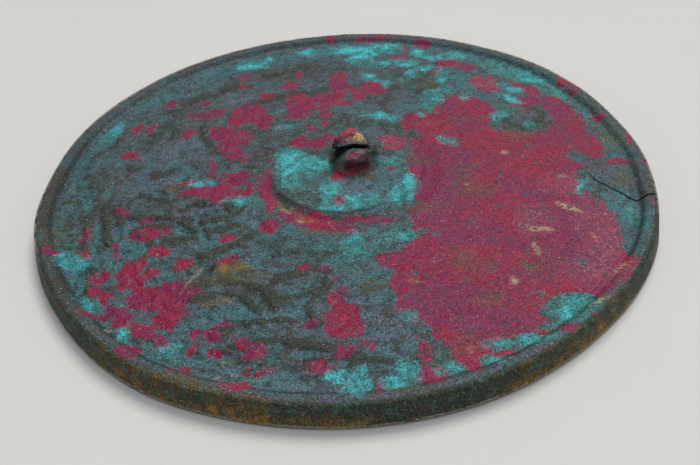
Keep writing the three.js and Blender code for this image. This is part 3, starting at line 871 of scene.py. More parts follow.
CRIMSON = PatinaLayer(
    "crimson",
    shown=patches(
        # The broad field on the right
        (0.46, -0.1, 0.24, 0.4), (0.6, -0.35, 0.2, 0.34), (0.36, -0.55, 0.24, 0.25),
        (0.45, 0.3, 0.11, 0.13), (0.28, 0.28, 0.07, 0.07), (0.36, 0.22, 0.14, 0.1),
        (0.55, 0.06, 0.2, 0.1), (0.72, 0.12, 0.12, 0.08), (0.8, 0.22, 0.055, 0.12),
        (0.78, 0.33, 0.04, 0.06), (0.7, 0.37, 0.08, 0.035), (0.7, 0.45, 0.03, 0.07, 20),
        (0.83, 0.06, 0.045, 0.075), (0.7, -0.02, 0.08, 0.1), (0.14, -0.45, 0.05, 0.045),
        (0.16, -0.62, 0.06, 0.09), (0.3, -0.75, 0.1, 0.07), (0.29, -0.84, 0.035, 0.05),
        (0.37, -0.83, 0.045, 0.025), (0.72, -0.52, 0.08, 0.1), (0.66, -0.62, 0.05, 0.04),
        (0.24, -0.26, 0.05, 0.07), (0.27, -0.03, 0.06, 0.15), (0.66, 0.27, 0.03, 0.05),
        # Upper left
        (-0.15, 0.44, 0.055, 0.09), (-0.06, 0.46, 0.07, 0.055), (0.0, 0.57, 0.042, 0.12),
        (0.02, 0.44, 0.03, 0.03), (-0.05, 0.37, 0.03, 0.03), (-0.33, 0.4, 0.065, 0.06),
        (-0.29, 0.36, 0.03, 0.07), (-0.37, 0.37, 0.03, 0.05), (-0.42, 0.28, 0.045, 0.05),
        (-0.38, 0.19, 0.04, 0.09, 15), (-0.35, 0.24, 0.03, 0.05), (-0.28, 0.52, 0.045, 0.035),
        (-0.2, 0.59, 0.03, 0.03), (-0.46, 0.42, 0.05, 0.032, 45), (-0.53, 0.42, 0.027, 0.017),
        (-0.515, 0.5, 0.02, 0.03), (-0.63, 0.51, 0.02, 0.03), (-0.735, 0.355, 0.02, 0.035),
        (-0.675, 0.34, 0.014, 0.03), (-0.54, 0.3, 0.016, 0.037), (-0.73, 0.18, 0.027, 0.027),
        (-0.37, 0.6, 0.014, 0.025), (-0.37, 0.69, 0.025, 0.025), (-0.44, 0.07, 0.012, 0.05),
        (-0.11, 0.28, 0.02, 0.03), (-0.06, 0.3, 0.015, 0.02), (-0.22, 0.295, 0.015, 0.02),
        (-0.24, 0.025, 0.022, 0.022), (-0.24, 0.095, 0.013, 0.015), (-0.16, 0.67, 0.015, 0.03),
        # Upper right
        (0.11, 0.54, 0.05, 0.045), (0.155, 0.53, 0.02, 0.05), (0.085, 0.49, 0.027, 0.037),
        (0.43, 0.69, 0.045, 0.035), (0.5, 0.65, 0.045, 0.03, -25), (0.385, 0.63, 0.02, 0.03),
        (0.54, 0.54, 0.03, 0.04), (0.59, 0.55, 0.025, 0.03), (0.56, 0.49, 0.05, 0.03),
        (0.26, 0.77, 0.03, 0.02), (0.29, 0.84, 0.012, 0.04), (0.36, 0.87, 0.025, 0.025),
        (0.84, 0.46, 0.022, 0.03), (0.865, 0.41, 0.013, 0.035), (0.91, 0.22, 0.02, 0.02),
        (0.18, 0.935, 0.08, 0.016), (-0.03, 0.94, 0.02, 0.03), (0.26, 0.13, 0.03, 0.035),
        (0.88, -0.055, 0.032, 0.022), (0.82, -0.12, 0.022, 0.03), (0.81, -0.3, 0.014, 0.016),
        (0.94, -0.28, 0.016, 0.03), (0.965, 0.06, 0.01, 0.05), (0.968, -0.08, 0.01, 0.035),
        # Around the platform and to its left
        (-0.14, 0.185, 0.037, 0.042), (-0.09, 0.16, 0.03, 0.042), (-0.05, 0.2, 0.03, 0.03),
        (0.18, 0.15, 0.047, 0.055), (-0.012, -0.165, 0.017, 0.027), (0.15, -0.02, 0.016, 0.014),
        (-0.41, -0.06, 0.12, 0.045, 8), (-0.37, 0.0, 0.06, 0.045), (-0.345, -0.06, 0.055, 0.055),
        (-0.39, -0.1, 0.05, 0.035), (-0.52, 0.0, 0.03, 0.02), (-0.255, -0.09, 0.027, 0.11, 4),
        (-0.245, -0.26, 0.032, 0.03), (-0.17, -0.22, 0.055, 0.035, -30), (-0.09, -0.27, 0.08, 0.04, -15),
        (-0.02, -0.29, 0.05, 0.03), (0.03, -0.31, 0.022, 0.022), (0.05, -0.255, 0.07, 0.014),
        (0.12, -0.27, 0.016, 0.016),
        # Left of the middle
        (-0.6, -0.268, 0.057, 0.02, 15), (-0.57, -0.34, 0.03, 0.025), (-0.8, -0.235, 0.014, 0.02),
        (-0.79, -0.28, 0.013, 0.013), (-0.79, -0.345, 0.023, 0.022), (-0.7, -0.33, 0.012, 0.022),
        (-0.62, -0.205, 0.022, 0.016), (-0.89, -0.325, 0.02, 0.022), (-0.355, -0.315, 0.019, 0.019),
        (-0.49, -0.415, 0.02, 0.022), (-0.36, -0.42, 0.032, 0.016), (-0.07, -0.475, 0.019, 0.017),
        (-0.13, -0.46, 0.012, 0.016), (-0.71, -0.16, 0.012, 0.025, 30),
        # Lower left
        (-0.65, -0.43, 0.037, 0.055), (-0.62, -0.39, 0.017, 0.027), (-0.72, -0.455, 0.022, 0.027),
        (-0.57, -0.455, 0.027, 0.024), (-0.62, -0.49, 0.055, 0.03, -30), (-0.55, -0.55, 0.08, 0.05),
        (-0.5, -0.54, 0.06, 0.05), (-0.46, -0.52, 0.035, 0.022), (-0.5, -0.6, 0.05, 0.05),
        (-0.5, -0.65, 0.037, 0.027), (-0.72, -0.52, 0.027, 0.022), (-0.68, -0.54, 0.022, 0.03),
        (-0.7, -0.605, 0.037, 0.017, -25), (-0.62, -0.64, 0.037, 0.032), (-0.57, -0.68, 0.04, 0.03, -40),
        (-0.52, -0.72, 0.037, 0.018, -40), (-0.65, -0.6, 0.032, 0.022), (-0.6, -0.765, 0.03, 0.03, -35),
        (-0.36, -0.67, 0.022, 0.017), (-0.42, -0.7, 0.022, 0.013), (-0.38, -0.71, 0.022, 0.02),
        (-0.44, -0.75, 0.017, 0.017), (-0.37, -0.775, 0.022, 0.02), (-0.3, -0.75, 0.02, 0.032, 20),
        (-0.27, -0.78, 0.027, 0.027), (-0.47, -0.83, 0.016, 0.012), (-0.44, -0.825, 0.014, 0.014),
        (-0.24, -0.86, 0.022, 0.014), (-0.3, -0.85, 0.014, 0.012), (-0.34, -0.89, 0.022, 0.014),
        (-0.31, -0.9, 0.037, 0.022), (-0.265, -0.95, 0.022, 0.014),
        # Near side
        (-0.03, -0.69, 0.055, 0.067), (-0.05, -0.61, 0.027, 0.032), (-0.11, -0.7, 0.017, 0.012),
        (0.03, -0.78, 0.022, 0.012), (-0.03, -0.8, 0.027, 0.027), (0.165, -0.83, 0.022, 0.047),
        (0.18, -0.9, 0.04, 0.035), (0.06, -0.92, 0.014, 0.027), (-0.1, -0.85, 0.032, 0.017),
        (0.57, -0.785, 0.03, 0.02), (0.63, -0.75, 0.02, 0.02), (0.49, -0.785, 0.02, 0.015),
        (-0.02, -0.57, 0.02, 0.012), (-0.03, -0.53, 0.012, 0.01),
    ),
    spared=patches(
        (0.63, 0.235, 0.1, 0.075), (0.25, 0.2, 0.032, 0.032), (0.77, 0.0, 0.037, 0.032),
        (0.57, -0.71, 0.06, 0.05), (-0.35, -0.055, 0.022, 0.016), (-0.46, -0.01, 0.03, 0.018),
        (0.42, -0.81, 0.09, 0.018), (-0.53, -0.62, 0.012, 0.012), (-0.66, -0.56, 0.018, 0.02),
        (-0.57, -0.62, 0.012, 0.012), (0.07, -0.6, 0.05, 0.08), (0.83, -0.2, 0.05, 0.13),
        (0.62, -0.69, 0.05, 0.045),
    ),
)

TEAL = PatinaLayer(
    "teal",
    shown=patches(
        # Far side, inside the rim
        (0.13, 0.85, 0.06, 0.05), (0.05, 0.86, 0.08, 0.03), (0.22, 0.85, 0.05, 0.04),
        (-0.11, 0.86, 0.05, 0.025), (0.1, 0.79, 0.05, 0.04), (0.2, 0.73, 0.08, 0.022),
        (0.28, 0.71, 0.03, 0.016), (0.33, 0.8, 0.035, 0.035), (0.37, 0.77, 0.025, 0.03),
        (0.45, 0.76, 0.05, 0.02), (0.35, 0.675, 0.03, 0.027, 40), (0.29, 0.63, 0.02, 0.018),
        (0.12, 0.62, 0.035, 0.02, -50), (0.18, 0.56, 0.015, 0.02), (0.41, 0.59, 0.02, 0.05),
        (0.4, 0.49, 0.015, 0.015), (0.35, 0.44, 0.033, 0.045), (0.29, 0.33, 0.012, 0.012),
        (0.14, 0.335, 0.05, 0.017, -10), (0.19, 0.31, 0.025, 0.018, -30), (0.36, 0.14, 0.035, 0.022, -40),
        (0.47, 0.42, 0.015, 0.015), (0.72, 0.56, 0.06, 0.028, -52), (0.69, 0.6, 0.03, 0.02, -50),
        (0.64, 0.47, 0.04, 0.02, -45), (0.62, 0.4, 0.04, 0.016, -40), (0.575, 0.28, 0.025, 0.014, 50),
        (-0.34, 0.79, 0.045, 0.035), (-0.28, 0.82, 0.03, 0.018), (-0.82, 0.33, 0.022, 0.05, -20),
        (-0.2, 0.305, 0.018, 0.015), (0.66, 0.21, 0.012, 0.012),
        # Platform
        (-0.18, 0.085, 0.04, 0.06), (-0.19, 0.01, 0.035, 0.055), (-0.13, 0.05, 0.04, 0.03),
        (-0.08, 0.03, 0.03, 0.018), (-0.04, -0.13, 0.02, 0.06), (0.03, -0.17, 0.05, 0.02),
        (0.035, -0.19, 0.03, 0.022), (0.065, -0.215, 0.035, 0.014), (-0.03, -0.21, 0.03, 0.015),
        (0.18, -0.15, 0.028, 0.04, -25), (0.215, -0.1, 0.025, 0.035),
        # Left and near sides
        (-0.465, -0.015, 0.027, 0.013), (-0.35, -0.13, 0.027, 0.014), (-0.825, -0.365, 0.046, 0.034, -20),
        (-0.85, -0.36, 0.02, 0.015), (-0.79, -0.395, 0.02, 0.013), (-0.73, -0.56, 0.03, 0.013, -40),
        (-0.62, -0.68, 0.015, 0.02), (-0.48, -0.745, 0.018, 0.013), (-0.045, -0.88, 0.025, 0.018),
        (0.0, -0.925, 0.03, 0.018), (0.012, -0.9, 0.02, 0.03), (0.1, -0.905, 0.03, 0.018),
        (0.135, -0.88, 0.012, 0.03), (0.23, -0.885, 0.025, 0.01),
        (0.34, -0.87, 0.02, 0.01), (0.37, -0.81, 0.02, 0.01), (0.46, -0.805, 0.03, 0.012),
        (0.6, -0.665, 0.025, 0.014), (0.575, -0.72, 0.022, 0.014, 40),
        (0.145, -0.68, 0.02, 0.01), (0.17, -0.35, 0.013, 0.012), (0.75, -0.17, 0.025, 0.012, 60),
        (0.02, -0.365, 0.014, 0.025),
    ),
    spared=patches((-0.012, -0.165, 0.018, 0.028)),
    edge=0.02,
    wander=0.012,
    noise=LatticeNoise(67),
)

TEAL_WASH = PatinaLayer(
    "teal_wash",
    shown=patches(
        (0.84, -0.31, 0.06, 0.12, 12), (0.83, -0.5, 0.03, 0.07, -20), (0.8, 0.46, 0.05, 0.07, 30),
        (0.87, 0.28, 0.04, 0.12, 10), (0.6, 0.68, 0.14, 0.045, -40), (0.45, 0.8, 0.12, 0.04, -22),
        (0.05, 0.86, 0.3, 0.045), (-0.45, 0.74, 0.2, 0.05, 35), (-0.7, 0.54, 0.14, 0.04, 52),
        (-0.85, 0.25, 0.04, 0.2, -12), (-0.88, -0.05, 0.035, 0.2, 4), (-0.84, -0.33, 0.04, 0.14, 20),
        (-0.76, -0.5, 0.04, 0.1, 35), (0.05, 0.27, 0.14, 0.035), (-0.12, 0.26, 0.07, 0.03, 25),
        (0.3, 0.42, 0.045, 0.09), (-0.12, 0.02, 0.11, 0.1), (0.17, 0.0, 0.05, 0.08),
        (0.1, -0.14, 0.12, 0.08), (-0.05, -0.37, 0.18, 0.035), (-0.22, -0.33, 0.08, 0.04),
        (0.13, -0.33, 0.1, 0.035), (-0.44, -0.24, 0.08, 0.035), (-0.62, -0.33, 0.06, 0.07),
        (-0.33, -0.14, 0.05, 0.05), (-0.69, -0.22, 0.03, 0.05), (-0.7, -0.38, 0.02, 0.08),
        (-0.42, -0.38, 0.07, 0.03), (0.0, -0.42, 0.1, 0.07), (0.08, -0.56, 0.06, 0.07),
        (-0.14, -0.55, 0.05, 0.025), (-0.13, -0.62, 0.03, 0.04), (-0.3, -0.62, 0.1, 0.04),
        (-0.38, -0.79, 0.1, 0.025, -20), (-0.2, -0.87, 0.2, 0.02, -8), (0.42, -0.8, 0.12, 0.025, 12),
        (0.57, -0.7, 0.07, 0.06, 30), (0.05, -0.88, 0.12, 0.04), (-0.35, -0.84, 0.16, 0.018, -22),
        (0.58, 0.3, 0.05, 0.06), (0.72, -0.15, 0.02, 0.03), (0.9, 0.05, 0.04, 0.12),
        (0.45, 0.55, 0.1, 0.1), (-0.56, 0.06, 0.05, 0.04), (-0.5, -0.72, 0.1, 0.02, -35),
    ),
    edge=0.042,
    wander=0.03,
    noise=LatticeNoise(71),
)

JADE = PatinaLayer(
    "jade",
    shown=patches(
        (0.6, -0.69, 0.06, 0.045, 25), (0.64, -0.64, 0.03, 0.02), (0.56, -0.74, 0.045, 0.025, 35),
        (0.44, -0.81, 0.08, 0.02, 12), (0.34, -0.86, 0.03, 0.014), (0.72, 0.53, 0.1, 0.04, -54),
        (0.8, 0.4, 0.035, 0.07, 25), (0.87, -0.3, 0.015, 0.06, 8), (0.17, 0.03, 0.04, 0.03),
        (0.62, 0.64, 0.1, 0.03, -45), (-0.1, 0.02, 0.08, 0.05, 20), (-0.02, -0.1, 0.03, 0.05),
        (-0.15, -0.08, 0.05, 0.03, -30), (-0.08, -0.17, 0.05, 0.015, -15),
        (0.12, -0.19, 0.04, 0.02, 20),
        (-0.2, -0.88, 0.06, 0.016, -8), (0.22, -0.88, 0.05, 0.02, 12), (-0.6, -0.68, 0.05, 0.016, -42),
        (-0.74, -0.55, 0.04, 0.018, -50), (0.34, 0.4, 0.035, 0.07), (0.25, 0.6, 0.03, 0.02),
        (-0.33, -0.14, 0.04, 0.03), (0.0, -0.4, 0.06, 0.03), (0.15, -0.35, 0.05, 0.02),
    ),
    edge=0.026,
    wander=0.02,
    noise=LatticeNoise(79),
)

OLIVE = PatinaLayer(
    "olive",
    shown=patches(
        (-0.35, -0.455, 0.035, 0.025), (-0.31, -0.49, 0.05, 0.018), (0.41, -0.14, 0.055, 0.035),
        (0.36, -0.645, 0.045, 0.032), (0.34, -0.47, 0.03, 0.04), (0.52, -0.53, 0.018, 0.022),
        (0.57, -0.52, 0.012, 0.03), (0.27, -0.78, 0.02, 0.03), (0.4, -0.06, 0.03, 0.05),
        (0.26, 0.03, 0.035, 0.03), (-0.06, -0.3, 0.04, 0.012), (0.05, -0.56, 0.03, 0.018),
        (0.92, 0.1, 0.025, 0.05), (0.89, -0.12, 0.018, 0.025), (-0.89, -0.25, 0.014, 0.03),
        (-0.42, -0.88, 0.1, 0.02, -25), (-0.27, -0.95, 0.12, 0.02, -12), (0.1, -0.94, 0.03, 0.012),
        (-0.75, -0.67, 0.08, 0.014, -48), (0.62, 0.16, 0.05, 0.025), (0.35, 0.55, 0.025, 0.025),
        (-0.55, -0.03, 0.03, 0.02), (0.24, -0.22, 0.06, 0.02), (0.42, 0.28, 0.03, 0.03),
    ),
    edge=0.035,
    wander=0.02,
    noise=LatticeNoise(83),
)

# Dark soil-brown bands over the field and round the platform; the wide band in the trough on the far side of
# the platform is painted shade.
EARTH_AND_SHADE = PatinaLayer(
    "earth_and_shade",
    shown=(
        *arc(0.29, 15, 165, 0.03),
        *arc(0.262, 185, 335, 0.014),
        *arc(0.4, 120, 165, 0.02),
        *arc(0.42, 200, 262, 0.02),
        *arc(0.62, 190, 250, 0.018),
        *arc(0.74, 96, 160, 0.024),
        *arc(0.86, 150, 215, 0.014),
        *arc(0.87, 250, 300, 0.012),
        *arc(0.55, 70, 130, 0.02),
        *patches((-0.09, 0.09, 0.025, 0.02), (0.135, 0.08, 0.03, 0.04), (-0.13, -0.16, 0.06, 0.012, -30),
                 (-0.08, -0.05, 0.07, 0.009, 40), (0.33, 0.58, 0.05, 0.05), (0.24, 0.62, 0.05, 0.03),
                 (-0.2, 0.7, 0.2, 0.03), (-0.62, 0.3, 0.03, 0.08), (0.14, 0.46, 0.05, 0.04),
                 (0.64, 0.2, 0.08, 0.03), (0.3, 0.5, 0.03, 0.06), (-0.25, 0.22, 0.04, 0.02)),
    ),
    edge=0.03,
    wander=0.022,
    noise=LatticeNoise(89),
)

# Bluish-mauve patches: partly the patina's own tint, partly painted highlight, as along the near rim's
# crest.
LILAC_SHEEN = PatinaLayer(
    "lilac_sheen",
    shown=patches(
        (0.04, -0.11, 0.075, 0.035, -4), (0.01, -0.08, 0.04, 0.03), (-0.62, 0.06, 0.06, 0.05),
        (-0.66, -0.04, 0.05, 0.03), (-0.46, -0.16, 0.05, 0.02), (0.03, 0.2, 0.1, 0.028),
        (-0.1, -0.9, 0.2, 0.03, -6), (0.1, -0.96, 0.25, 0.025), (0.45, -0.88, 0.2, 0.025, 28),
        (-0.66, -0.76, 0.12, 0.02, -42), (-0.16, -0.68, 0.05, 0.02), (0.0, -0.63, 0.08, 0.05),
        (-0.5, -0.35, 0.06, 0.03), (-0.2, -0.5, 0.05, 0.02), (0.1, -0.74, 0.06, 0.04),
        (-0.55, 0.2, 0.08, 0.06), (-0.4, 0.5, 0.08, 0.04), (-0.28, -0.2, 0.02, 0.04),
    ),
    edge=0.03,
    wander=0.02,
    noise=LatticeNoise(91),
)

SIDE_OCHRE = PatinaLayer(
    "side_ochre",
    shown=(*arc(0.985, -131, -104, 0.03), *arc(0.99, -96, -92, 0.02), *arc(0.99, -64, -42, 0.03),
           *arc(0.99, -26, -8, 0.02), *arc(0.99, 60, 84, 0.025), *arc(0.99, 150, 170, 0.025)),
    edge=0.03,
    wander=0.03,
    noise=LatticeNoise(95),
)

# Painted sheen: pale rose patches standing for a soft highlight on the crimson crust, most on the lower
# right; the glints gather here too.
PAINTED_SHEEN = PatinaLayer(
    "painted_sheen",
    shown=patches(
        (0.75, -0.46, 0.07, 0.12), (0.76, -0.32, 0.04, 0.07), (0.7, -0.56, 0.07, 0.05),
        (0.56, -0.31, 0.05, 0.05), (0.18, 0.15, 0.06, 0.06), (0.72, -0.14, 0.06, 0.04),
        (-0.33, -0.9, 0.05, 0.03), (0.56, 0.52, 0.07, 0.06), (-0.36, 0.69, 0.03, 0.03),
        (0.25, 0.77, 0.04, 0.03),
    ),
    edge=0.05,
    wander=0.03,
    noise=LatticeNoise(93),
)

TAN = PatinaLayer(
    "tan",
    shown=patches(
        (0.665, -0.255, 0.03, 0.013, -40), (0.7, -0.28, 0.03, 0.012, -35), (0.525, -0.34, 0.013, 0.012),
        (0.56, -0.355, 0.02, 0.012), (0.595, -0.355, 0.014, 0.008, -35), (0.545, -0.45, 0.007, 0.02),
        (0.455, -0.575, 0.01, 0.018), (-0.185, -0.185, 0.016, 0.006, -45), (-0.145, -0.25, 0.01, 0.007, -50),
        (0.76, -0.555, 0.03, 0.01, 35), (0.66, -0.69, 0.02, 0.006, 20), (0.72, -0.41, 0.006, 0.012),
        (0.55, 0.05, 0.01, 0.006), (0.39, -0.11, 0.008, 0.01), (0.29, -0.82, 0.005, 0.008),
        (-0.45, -0.475, 0.003, 0.03, -20), (-0.66, -0.675, 0.008, 0.006),
        (-0.335, -0.81, 0.008, 0.006), (-0.35, -0.86, 0.005, 0.004), (0.7, -0.1, 0.008, 0.006),
    ),
    edge=0.009,
    wander=0.006,
    noise=LatticeNoise(97),
)

AMBER = PatinaLayer(
    "amber",
    shown=patches(
        (-0.36, -0.44, 0.02, 0.016), (-0.32, -0.45, 0.02, 0.008, -15), (-0.165, -0.19, 0.04, 0.006, -38),
        (-0.12, -0.24, 0.022, 0.007, -40), (-0.365, -0.58, 0.018, 0.005), (0.18, -0.56, 0.016, 0.006),
    ),
    edge=0.016,
    wander=0.014,
    noise=LatticeNoise(103),
)

FISSURE = PatinaLayer(
    "fissure",
    shown=(
        *patches((-0.447, -0.14, 0.037, 0.009, -6), (-0.59, -0.045, 0.026, 0.004, -35),
                 (-0.4, -0.44, 0.01, 0.03, -12)),
        *arc(0.232, 212, 300, 0.007),
    ),
    edge=0.007,
    wander=0.006,
    noise=LatticeNoise(107),
)


@dataclass(frozen=True)
class Spot:
    """A round place on the knob, with its middle and its half sizes in millimetres."""

    middle: Place
    half: Place

    def depth(self, points: np.ndarray) -> np.ndarray:
        """Gives about how far inside the spot each point is, in millimetres."""
        return (1 - np.linalg.norm((points - self.middle) / self.half, axis=1)) * min(self.half)


@dataclass(frozen=True)
class KnobCoat:
    """One colour on the broken knob; one coat is painted shadow and two are partly painted highlight. The
    colour is linear.
    """

    name: str
    colour: Colour
    spots: tuple[Spot, ...]
    edge: float = 0.4
    wander: float = 0.5
    noise: LatticeNoise = LatticeNoise(101)

    def field(self, points: np.ndarray) -> np.ndarray:
        """Works out the coat's soft field, 0.5 at its edge, for each point in millimetres.

        Args:
            points: Places, one row of three numbers in millimetres each.

        Returns:
            One value from 0 to 1 for each place.
        """
        warp = np.column_stack([self.noise.layered(points + start, 1.6, 2) for start in (0, 9, 18)])
        moved = points + self.wander * warp
        depth = np.max([spot.depth(moved) for spot in self.spots], axis=0)
        return np.clip(0.5 + depth / (2 * self.edge), 0, 1)


def spots(*rows: tuple[float, ...]) -> tuple[Spot, ...]:
    """Makes a spot of each row: its middle, then its half sizes."""
    return tuple(Spot(row[:3], row[3:]) for row in rows)


KNOB_COATS = (
    # Painted shadow: near-black at the knob's foot on both sides, inside the cord hole and down in the crack
    # between the stubs.
    KnobCoat("knob_painted_shadow", (0.02, 0.03, 0.022), spots(
        (-1.2, 4.2, 5.6, 1.7, 3.2, 1.8), (-1.9, 6.2, 4.6, 1.3, 2.0, 0.9), (-2.1, 3.4, 4.7, 1.0, 1.8, 0.7),
        (6.2, 5.2, 4.8, 1.3, 2.4, 1.5), (6.5, 3.4, 5.0, 1.0, 1.8, 1.0), (2.3, 2.8, 6.4, 4.6, 2.2, 1.8),
        (2.3, 1.6, 8.0, 3.6, 0.8, 0.9))),
    KnobCoat("knob_olive", (0.07, 0.072, 0.045), spots(
        (4.6, -2.6, 4.9, 1.7, 1.2, 0.8), (5.8, -1.6, 4.8, 1.0, 1.4, 0.7), (-1.4, -0.6, 5.2, 1.2, 1.6, 0.9),
        (2.0, 6.8, 6.0, 4.5, 1.6, 3.0))),
    # Pale grey on the far stub's broken lip: partly the stub's grey crust, partly painted highlight.
    KnobCoat("knob_grey_highlight", (0.22, 0.19, 0.19), spots(
        (1.3, 0.8, 9.7, 1.5, 0.7, 0.5), (3.0, 0.8, 9.5, 1.7, 0.7, 0.6), (4.4, 0.95, 9.2, 1.1, 0.8, 0.7),
        (1.4, 1.3, 10.2, 1.4, 0.9, 0.6), (3.6, 2.0, 10.4, 1.6, 1.2, 0.8))),
    KnobCoat("knob_mauve", (0.13, 0.12, 0.135), spots(
        (-0.4, -0.9, 6.7, 1.2, 1.2, 1.2), (1.2, -1.0, 8.0, 1.6, 1.0, 1.1), (3.6, -0.8, 8.5, 2.0, 1.0, 0.8),
        (2.4, -1.6, 7.6, 2.2, 0.9, 0.8))),
    KnobCoat("knob_maroon", (0.1, 0.018, 0.03), spots(
        (1.9, -2.2, 6.1, 1.9, 1.0, 1.3), (3.8, -1.9, 6.3, 1.8, 0.9, 1.1), (-1.6, 1.9, 9.0, 1.2, 1.8, 1.0),
        (-1.0, 3.4, 9.2, 1.4, 1.6, 1.5), (-0.9, 1.3, 9.7, 0.9, 0.9, 0.6))),
    KnobCoat("knob_red", (0.34, 0.05, 0.07), spots(
        (0.6, 2.3, 10.6, 1.5, 1.3, 0.6), (-0.6, 2.4, 10.2, 0.9, 1.3, 0.5), (1.9, 3.2, 11.0, 1.5, 1.7, 0.7),
        (0.6, 4.6, 10.5, 2.2, 1.6, 0.9))),
    KnobCoat("knob_crimson", (0.26, 0.025, 0.055), spots(
        (1.9, -1.6, 7.7, 0.4, 0.8, 1.3), (2.6, -1.3, 8.3, 0.9, 0.8, 0.35), (5.1, -0.8, 7.2, 0.6, 0.9, 1.2),
        (-1.0, -2.4, 4.6, 1.7, 1.3, 0.6), (0.7, -2.8, 4.8, 1.6, 0.9, 0.6), (1.5, -2.7, 5.0, 0.9, 0.7, 0.4)),
        wander=0.7),
    # Bright ochre on top of the far stub: partly bare bronze, partly painted highlight.
    KnobCoat("knob_ochre_highlight", (0.6, 0.42, 0.16), spots(
        (3.4, 1.9, 10.7, 0.55, 0.8, 0.6), (3.5, 1.4, 10.2, 0.95, 0.7, 0.5)), wander=0.12),
)


class NodeGraph:
    """Adds nodes to one node tree and links them."""

    def __init__(self, tree: bpy.types.NodeTree) -> None:
        """Keeps the tree that nodes are added to."""
        self.tree = tree

    def add(self, kind: str, **settings: object) -> bpy.types.Node:
        """Adds a node and sets its own options.

        Args:
            kind: Blender's name of the node's kind.
            settings: Its options by name.

        Returns:
            The new node.
        """
        node = self.tree.nodes.new(kind)
        for name, value in settings.items():
            setattr(node, name, value)
        return node

    def feed(self, socket: Socket, value: Feed) -> None:
        """Links a socket to another, or sets its plain value.

        Args:
            socket: The input that is fed.
            value: Another node's output, a number or a colour.
        """
        if isinstance(value, Socket):
            self.tree.links.new(value, socket)
        elif isinstance(value, tuple) and len(value) == 3 and socket.type == "RGBA":
            socket.default_value = (*value, 1.0)
        else:
            socket.default_value = value

    def math(self, operation: str, first: Feed, second: Feed = 0.0) -> Socket:
        """Adds a step of arithmetic, by Blender's name of it.

        Args:
            operation: The name, such as ADD.
            first: The first number.
            second: The second number.

        Returns:
            The result's socket.
        """
        node = self.add("ShaderNodeMath", operation=operation)
        self.feed(node.inputs[0], first)
        self.feed(node.inputs[1], second)
        return node.outputs[0]

    def times(self, first: Feed, second: Feed) -> Socket:
        """Adds a product."""
        return self.math("MULTIPLY", first, second)

    def plus(self, first: Feed, second: Feed) -> Socket:
        """Adds a sum."""
        return self.math("ADD", first, second)

    def mix(self, share: Feed, first: Feed, second: Feed, blend: str = "MIX") -> Socket:
        """Mixes two colours.

        Args:
            share: How much of the second colour, from 0 to 1.
            first: The colour underneath.
            second: The colour on top.
            blend: Blender's name of the way they mix.

        Returns:
            The mixed colour's socket.
        """
        node = self.add("ShaderNodeMix", data_type="RGBA", blend_type=blend)
        self.feed(node.inputs["Factor"], share)
        colours = [s for s in node.inputs if s.type == "RGBA"]
        self.feed(colours[0], first)
        self.feed(colours[1], second)
        return next(s for s in node.outputs if s.type == "RGBA")

    def noise(self, size_mm: float, detail: float) -> Socket:
        """Adds noise whose features are about the given size on the object.

        Args:
            size_mm: The size in millimetres.
            detail: How many finer layers are added.

        Returns:
            The noise's socket, mostly from 0.3 to 0.7.
        """
        node = self.add("ShaderNodeTexNoise")
        node.inputs["Scale"].default_value = 1 / (size_mm * METRES_PER_MM)
        node.inputs["Detail"].default_value = detail
        self.feed(node.inputs["Vector"], self.place())
        return node.outputs[0]

    def place(self) -> Socket:
        """Gives the place on the object, in metres."""
        return self.add("ShaderNodeTexCoord").outputs["Object"]

    def step(self, value: Feed, low: float, high: float) -> Socket:
        """Adds a smooth rise from 0 at low to 1 at high.

        Args:
            value: The number that is judged.
            low: Where the rise starts.
            high: Where the rise ends. If it is less than low, the mask falls instead.

        Returns:
            The rise's socket.
        """
        node = self.add("ShaderNodeMapRange", interpolation_type="SMOOTHSTEP")
        self.feed(node.inputs["Value"], value)
        node.inputs["From Min"].default_value = low
        node.inputs["From Max"].default_value = high
        return node.outputs["Result"]

    def blots(self, size_mm: float, detail: float, low: float, high: float) -> Socket:
        """Gives a mask of blots, where noise passes from low to high."""
        return self.step(self.noise(size_mm, detail), low, high)

    def coated(self, colour: Feed, *coats: tuple[Feed, float, Feed]) -> Feed:
        """Lays coats over a colour, one after another.

        Args:
            colour: The colour underneath.
            coats: The mask of each coat, its strength from 0 to 1, and its colour.

        Returns:
            The coated colour.
        """
        for mask, strength, coat in coats:
            colour = self.mix(mask if strength == 1 else self.times(mask, strength), colour, coat)
        return colour

    def attribute(self, name: str) -> Socket:
        """Reads a number kept on the mesh."""
        return self.add("ShaderNodeAttribute", attribute_name=name).outputs["Fac"]

    def group(self, group: bpy.types.NodeTree, **feeds: Feed) -> bpy.types.Node:
        """Places a node group and feeds its inputs, whose names are written with underscores.

        Args:
            group: The group.
            feeds: What each input gets.

        Returns:
            The group's node.
        """
        node = self.add("ShaderNodeGroup", node_tree=group)
        for name, value in feeds.items():
            self.feed(node.inputs[name.replace("_", " ")], value)
        return node


class SocketKind(Enum):
    """The kinds of socket that the node groups use."""

    NUMBER = "NodeSocketFloat"
    COLOUR = "NodeSocketColor"


def new_group(name: str, inputs: dict[str, SocketKind], outputs: dict[str, SocketKind]) -> tuple[
        bpy.types.NodeTree, NodeGraph, bpy.types.Node, bpy.types.Node]:
    """Makes an empty shader node group.

    Args:
        name: The group's name.
        inputs: Names and kinds of its inputs.
        outputs: Names and kinds of its outputs.

    Returns:
        The group, a graph to add nodes with, and its input and output nodes.
    """
    tree = bpy.data.node_groups.new(name, "ShaderNodeTree")
    for label, kind in inputs.items():
        tree.interface.new_socket(label, in_out="INPUT", socket_type=kind.value)
    for label, kind in outputs.items():
        tree.interface.new_socket(label, in_out="OUTPUT", socket_type=kind.value)
    graph = NodeGraph(tree)
    return tree, graph, graph.add("NodeGroupInput"), graph.add("NodeGroupOutput")


